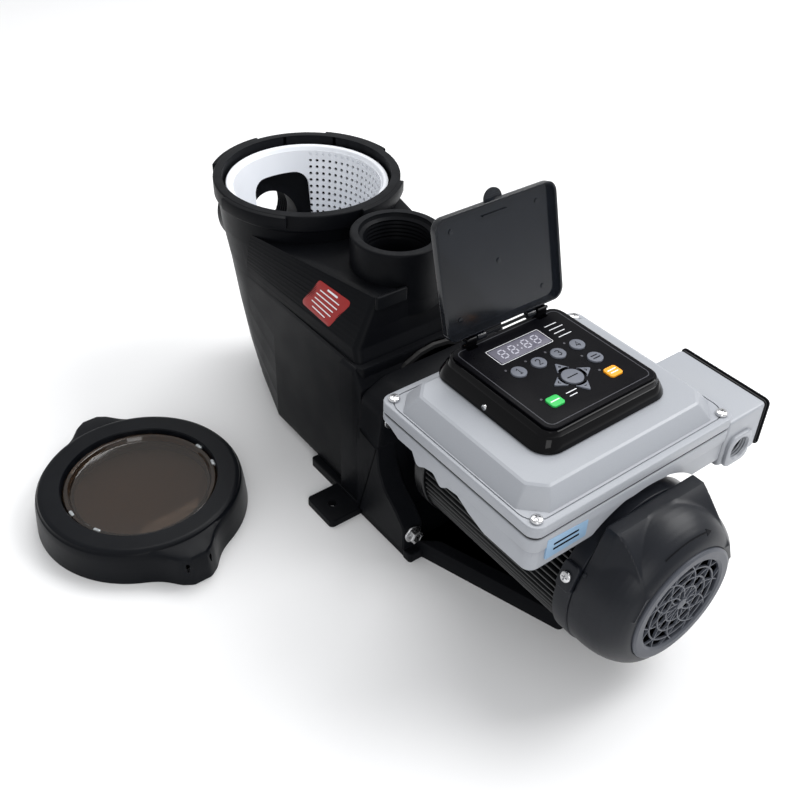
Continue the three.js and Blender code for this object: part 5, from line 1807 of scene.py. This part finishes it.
    def build(self) -> None:
        """Makes the bezel, panel, prints, display and keys."""
        add_piece("gloss_bezel", self.bezel(), BEZEL_GLOSS, Body.PUMP, ["keypad_bezel"], 28)
        add_piece("printed_panel", self.panel(), PANEL_FILM, Body.PUMP, ["keypad_panel"], 40)
        add_piece("panel_border", self.border(), FRAME_GREY, Body.PUMP)
        add_piece("panel_print", self.printing(), PRINT_WHITE, Body.PUMP)
        window = plate(17.8, 53.2, 1.0, 235, self.panel_top + 0.2, 0.25, self.display_middle)
        add_piece("display_face", window, DISPLAY_GREY, Body.PUMP, ["display"])
        add_piece("display_digits", self.digits(), SEGMENT_PALE, Body.PUMP)
        lamps = []
        for key in self.keys():
            levels = edge_levels(self.key_low, self.key_top - (0.3 if key.sign in "<>+-" and key.sign else 0),
                                 0, 0.45, 3)
            body = slab(key.outline + np.array(key.place), levels)
            add_piece(key.body.replace("button", "key"), body, key.finish, key.body, [key.body])
            if key.body in ("quick_clean_button", "start_stop_button",
                            "menu_button") or key.body.startswith("speed"):
                lamps.append(rod(1.1, self.panel_top - 0.4, self.panel_top + 0.25, 0.2, 20)
                             .moved(key.place[0] - 7.6, key.place[1] - 7.0))
            self.print_on(key)
        add_piece("indicator_lamps", together(lamps), LAMP_GREY, Body.PUMP)
        screw = pan_screw(2.6, 1.6, 4).faced(Facing.ACROSS)
        add_piece("bezel_side_screw", screw.moved(self.middle[0] - 2, self.middle[1] - 67.6, 226.6),
                  BRIGHT_STEEL,
                  Body.PUMP, ())

    def print_on(self, key: Key) -> None:
        """Prints a key's sign, or pale bars where it would carry words.

        Args:
            key: the key.
        """
        x, y = key.place
        if key.sign and key.sign in "1234":
            mark, finish = self.sign(key.sign, (x, y), 3.2, self.key_top, 0.8), PANEL_FILM
        elif key.sign:
            heading = {"+": np.pi, ">": np.pi / 2, "-": 0.0, "<": -np.pi / 2}[key.sign]
            place = (x + 14.2 * math.cos(heading), y + 14.2 * math.sin(heading))
            mark, finish = self.sign(key.sign, place, 2.1, self.key_top - 0.3, 0.7), PANEL_FILM
        else:
            lengths = {"quick_clean_button": (7, 8), "start_stop_button": (9, 8), "menu_button": (9,),
                       "display_button": (11,)}[key.body]
            mark = together([self.bar((x + 3.2 * (row - (len(lengths) - 1) / 2), y), length, 1.1, self.key_top)
                             for row, length in enumerate(lengths)])
            finish = PRINT_WHITE if key.finish in (KEY_ORANGE, KEY_GREEN) else PANEL_FILM
        add_piece(f"{key.body}_print", mark, finish, key.body)


# ---- flip cover --------------------------------------------------------------------------------------


@dataclass
class FlipCover:
    """The smoked cover of the keypad. It is drawn shut about its hinge and then swung open."""

    opening: float = 105.0
    length: float = 100.0
    width: float = 124.0
    reach: float = 55.0

    def build(self) -> None:
        """Makes the tray with its tab, ledge, marks and knuckles."""
        tray = plate(self.length, self.width, 10, -4, 3, 1.6, (self.reach, 0), 0.5)
        tab_path = np.vstack([sector(-90, 90, 0.01, 9, 20)[:21], [(-3, 9), (-3, -9)]])
        tab_path = tab_path + [self.reach + self.length / 2 - 0.4, 0]
        tab = slab(tab_path, edge_levels(0.6, 3, 0.3, 0.9, 3))
        arms = []
        for side in (-27, 27):
            arms += [rod(3.2, -4.5, 4.5, 0.5).faced(Facing.ALONG_Y).moved(y=side),
                     plate(8.5, 9, 0.5, 0.5, 3, 0.4, (4, side))]
        hollow = plate(self.length - 3, self.width - 5, 8, -6, 1, 0, (self.reach, 0))
        grip = plate(1.2, 25, 0.3, -0.6, 1.2, 0.2, (self.reach + 39, 0))
        marks = [rod(2.1, 0.35, 1.4, 0.1, 24).moved(self.reach + x, y) for x,
                 y in ((-36, -44), (-36, 44), (36, -44), (36, 44), (0, 0))]
        pin = rod(PIN_RADIUS, -40, 40, 0, 24).faced(Facing.ALONG_Y)
        body = fused("tray", tray, [tab, *arms], [hollow])
        whole = fused("smoked_tray", body, [grip, *marks], [pin])
        whole.transform(Matrix.Translation(Vector(HINGE) * MM)
                        @ Matrix.Rotation(math.radians(-self.opening), 4, "Y"))
        add_piece("smoked_tray", whole, COVER_SMOKE, Body.COVER, ["flip_cover"], 28)


# ---- lid ---------------------------------------------------------------------------------------------


@dataclass
class LooseLid:
    """The lid that lies beside the pump: lock ring with two wings, clear domed window, seal and pale tabs."""

    middle: tuple[float, float] = (-111.2, -252.8)
    top: float = 36.0

    def outline(self, radius: float, draw: float, blend: float = 7.0, count: int = 288) -> np.ndarray:
        """The ring's circle with a wing to each side.

        In each direction the radius is the greater of the circle's and the wing's, rounded where they meet. The
        wing's is the distance to a straight-sided shape that narrows outward, less the draw.

        Args:
            radius: the circle's radius.
            draw: how far the wings are drawn in.
            blend: how wide the rounding is where they meet.
            count: number of directions.

        Returns:
            The points, shape (count, 2).
        """
        angle = np.arange(count) * 2 * np.pi / count
        c, s = np.abs(np.cos(angle)), np.abs(np.sin(angle))
        lines = [(1.0, 0.0, 119.0), (0.832, 0.555, 103.9), (0.647, 0.762, 86.8), (0.0, 1.0, 60.0)]
        wing = np.min([(d - draw) / np.maximum(a * c + b * s, 1e-3) for a, b, d in lines], axis=0)
        wing = np.where(s < 0.62, wing, 0)
        reach = -soft_least(-np.full(count, radius), -wing, blend)
        return np.stack([np.cos(angle), np.sin(angle)], -1) * reach[:, None]

    def ring(self) -> bpy.types.Mesh:
        """The lock ring: outside walls, wings whose tops stop short of the ring's, mouth and threads' room."""
        levels = [(0, 100.1, 0.5), (0.6, 100.5, 0), (14, 99.4, 0.8), (25, 98.2, 1.6), (29.5, 97.4, 2.6),
                  (31.6, 96.6, 4.2),
                  (32.4, 95.6, 6.6)]
        rows = [lifted(self.outline(radius, draw), height) for height, radius, draw in levels]
        for radius, height in ((95.2, 33.0), (94.4, 34.8), (92.6, 35.8), (90.4, self.top)):
            rows.append(lifted(circle(radius, 288), height))
        top = turned([(0, 20), (90.4, 20), (90.4, self.top), (0, self.top)], [0, 0, 0.2, 0], 288, ring=False)
        body = loft(np.stack(rows))
        under = rod(97.3, -2, 20, 0, 160)
        wing_rooms = [plate(19, 26, 3, -2, 26, 2, (side * 107, 0)) for side in (-1, 1)]
        mouth = turned([(0, 10), (73.6, 10), (73.6, 34.6), (74.8, 36.4), (75.5, 40), (0, 40)],
                       [0, 0, 0.8, 0.8, 0, 0], 160,
                       ring=False)
        catches = [slab(sector(turn - 18.5, turn + 18.5, 94, 98.3, 12), edge_levels(1, 6, 0.6, 0.6, 2))
                   for turn in (45, 135, 225, 315)]
        solid = fused("ring_solid", body, [top], [under, mouth, *wing_rooms])
        return fused("lid_lock_ring", solid, catches)

    def window(self) -> Shell:
        """The window: a shallow dome inside a raised rim, with the skirt that presses the seal."""
        corners = [(0, 21.4), (40, 21.8), (64, 22.6), (66, 14), (92, 14), (92, 19), (72.6, 19), (72.6, 30),
                   (71.2, 31.4),
                   (67.8, 31.2), (65.6, 27.2), (40, 26.1), (0, 25.6)]
        return turned(corners, [0, 60, 1.5, 1.5, 1, 1, 0.8, 1, 1, 1, 2.5, 60, 0], 160, ring=False)

    def build(self) -> None:
        """Makes the ring, the window and the small clear tabs inside its rim."""
        x, y = self.middle
        ring = self.ring()
        ring.transform(Matrix.Translation((x * MM, y * MM, 0)))
        add_piece("lid_lock_ring", ring, LID_BLACK, Body.LID_RING, ["lock_ring"], 24)
        add_piece("domed_window", self.window().moved(x, y), WINDOW_AMBER, Body.LID, ["lid_window"],
                  40)
        tabs = [plate(3.4, 7.5, 1.2, 29, 32.2, 1.0, (radius, 0)).rolled(turn, "Z")
                for turn, radius in ((-89, 70), (-60, 69), (78, 72), (101, 72))]
        add_piece("window_tabs", together(tabs).moved(x, y), PALE_TAB, Body.LID)


# ---- what is inside, the studio, and the whole -------------------------------------------------------


def dress_inside() -> None:
    """Finishes the parts that are shown as the CAD drew them."""
    for finish, nodes in ((WET_BLACK, ("impeller", "diffuser", "cooling_fan", "terminal_block")),
                          (RUBBER_BLACK, ("housing_seal", "lid_seal")), (CERAMIC, ("seal_seat",)),
                          (SHAFT_STEEL, ("motor_shaft", "front_bearing", "rear_bearing")),
                          (LID_BLACK, ("hinge_pin",)), (BRIGHT_STEEL, ("seal_head",)),
                          (CORE_STEEL, ("rotor_core",)), (WINDING, ("stator",))):
        dress(nodes, paint(finish))
    dress(("circuit_board",), circuit_board_finish())


@dataclass
class Studio:
    """A pale floor, soft lamps and the camera."""

    target: tuple[float, float, float] = (19.36, -41.15, 120.0)
    azimuth: float = 51.5266
    elevation: float = 38.9171
    roll: float = 1.9393
    distance: float = 945.03
    lens: float = 45.78

    def floor(self) -> None:
        """A plain pale floor under the whole scene."""
        recipe = Recipe("studio floor")
        surface = recipe.put("BsdfPrincipled", "matte white",
                             {"Base Color": (0.93, 0.93, 0.935, 1), "Roughness": 0.85})
        output = recipe.put("OutputMaterial", "to the floor")
        recipe.join([(surface, "BSDF", output, "Surface")])
        recipe.set_out([("floor", (surface, output))])
        mesh = bpy.data.meshes.new("floor")
        mesh.from_pydata([(-30, -30, 0), (30, -30, 0), (30, 30, 0), (-30, 30, 0)], [], [(0, 1, 2, 3)])
        mesh.materials.append(recipe.material)
        into_scene("floor", mesh)

    def world(self) -> None:
        """An even, near-white surround."""
        world = bpy.data.worlds.new("studio")
        bpy.context.scene.world = world
        world.use_nodes = True
        shade = world.node_tree.nodes["Background"]
        shade.inputs["Color"].default_value = (0.98, 0.99, 1.0, 1)
        shade.inputs["Strength"].default_value = 0.66

    def lamp(self, name: str, place: tuple[float, float, float], aim: tuple[float, float, float],
             size: tuple[float, float],
             power: float) -> None:
        """A rectangular soft lamp at a place, in metres, turned to face a point.

        Args:
            name: the lamp's name.
            place: where it stands, in metres.
            aim: the point that it faces, in metres.
            size: width and height in metres.
            power: its power in watts.
        """
        light = bpy.data.lights.new(name, "AREA")
        light.shape, light.size, light.size_y, light.energy = "RECTANGLE", *size, power
        lamp = into_scene(name, light)
        lamp.location = place
        lamp.rotation_euler = (Vector(aim) - Vector(place)).to_track_quat("-Z", "Y").to_euler()

    def camera(self) -> None:
        """Sets the camera from the direction, roll and distance of the view."""
        turn, tilt, roll = (math.radians(a) for a in (self.azimuth, self.elevation, self.roll))
        back = Vector((math.sin(turn) * math.cos(tilt), -math.cos(turn) * math.cos(tilt), math.sin(tilt)))
        right = Vector((math.cos(turn), math.sin(turn), 0))
        up = back.cross(right)
        rolled_right = right * math.cos(roll) + up * math.sin(roll)
        rolled_up = up * math.cos(roll) - right * math.sin(roll)
        place = Matrix((rolled_right, rolled_up, back)).transposed().to_4x4()
        place.translation = (Vector(self.target) + back * self.distance) * MM
        data = bpy.data.cameras.new("camera")
        data.lens, data.sensor_width, data.clip_end = self.lens, 36.0, 100.0
        camera = into_scene("camera", data)
        camera.matrix_world = place
        bpy.context.scene.camera = camera

    def build(self) -> None:
        """Makes the whole studio."""
        bpy.context.scene.view_settings.view_transform = "Standard"
        self.floor()
        self.world()
        middle = (0.02, -0.04, 0.1)
        self.lamp("key", (0.5, 1.15, 1.45), middle, (1.1, 1.1), 24)
        self.lamp("front", (1.5, -0.9, 1.0), middle, (0.7, 1.0), 7)
        self.lamp("overhead", (-0.7, 0.5, 1.8), middle, (1.2, 0.9), 16)
        self.camera()


def main() -> None:
    """Builds the pump, then the studio."""
    for part in (WetEnd(), Base(), SealPlate(), Motor(), FanEnd(), DriveBox(), Keypad(), FlipCover(),
                 LooseLid()):
        log.info("building %s", type(part).__name__)
        part.build()
    dress_inside()
    Studio().build()


if __name__ == "__main__":
    main()
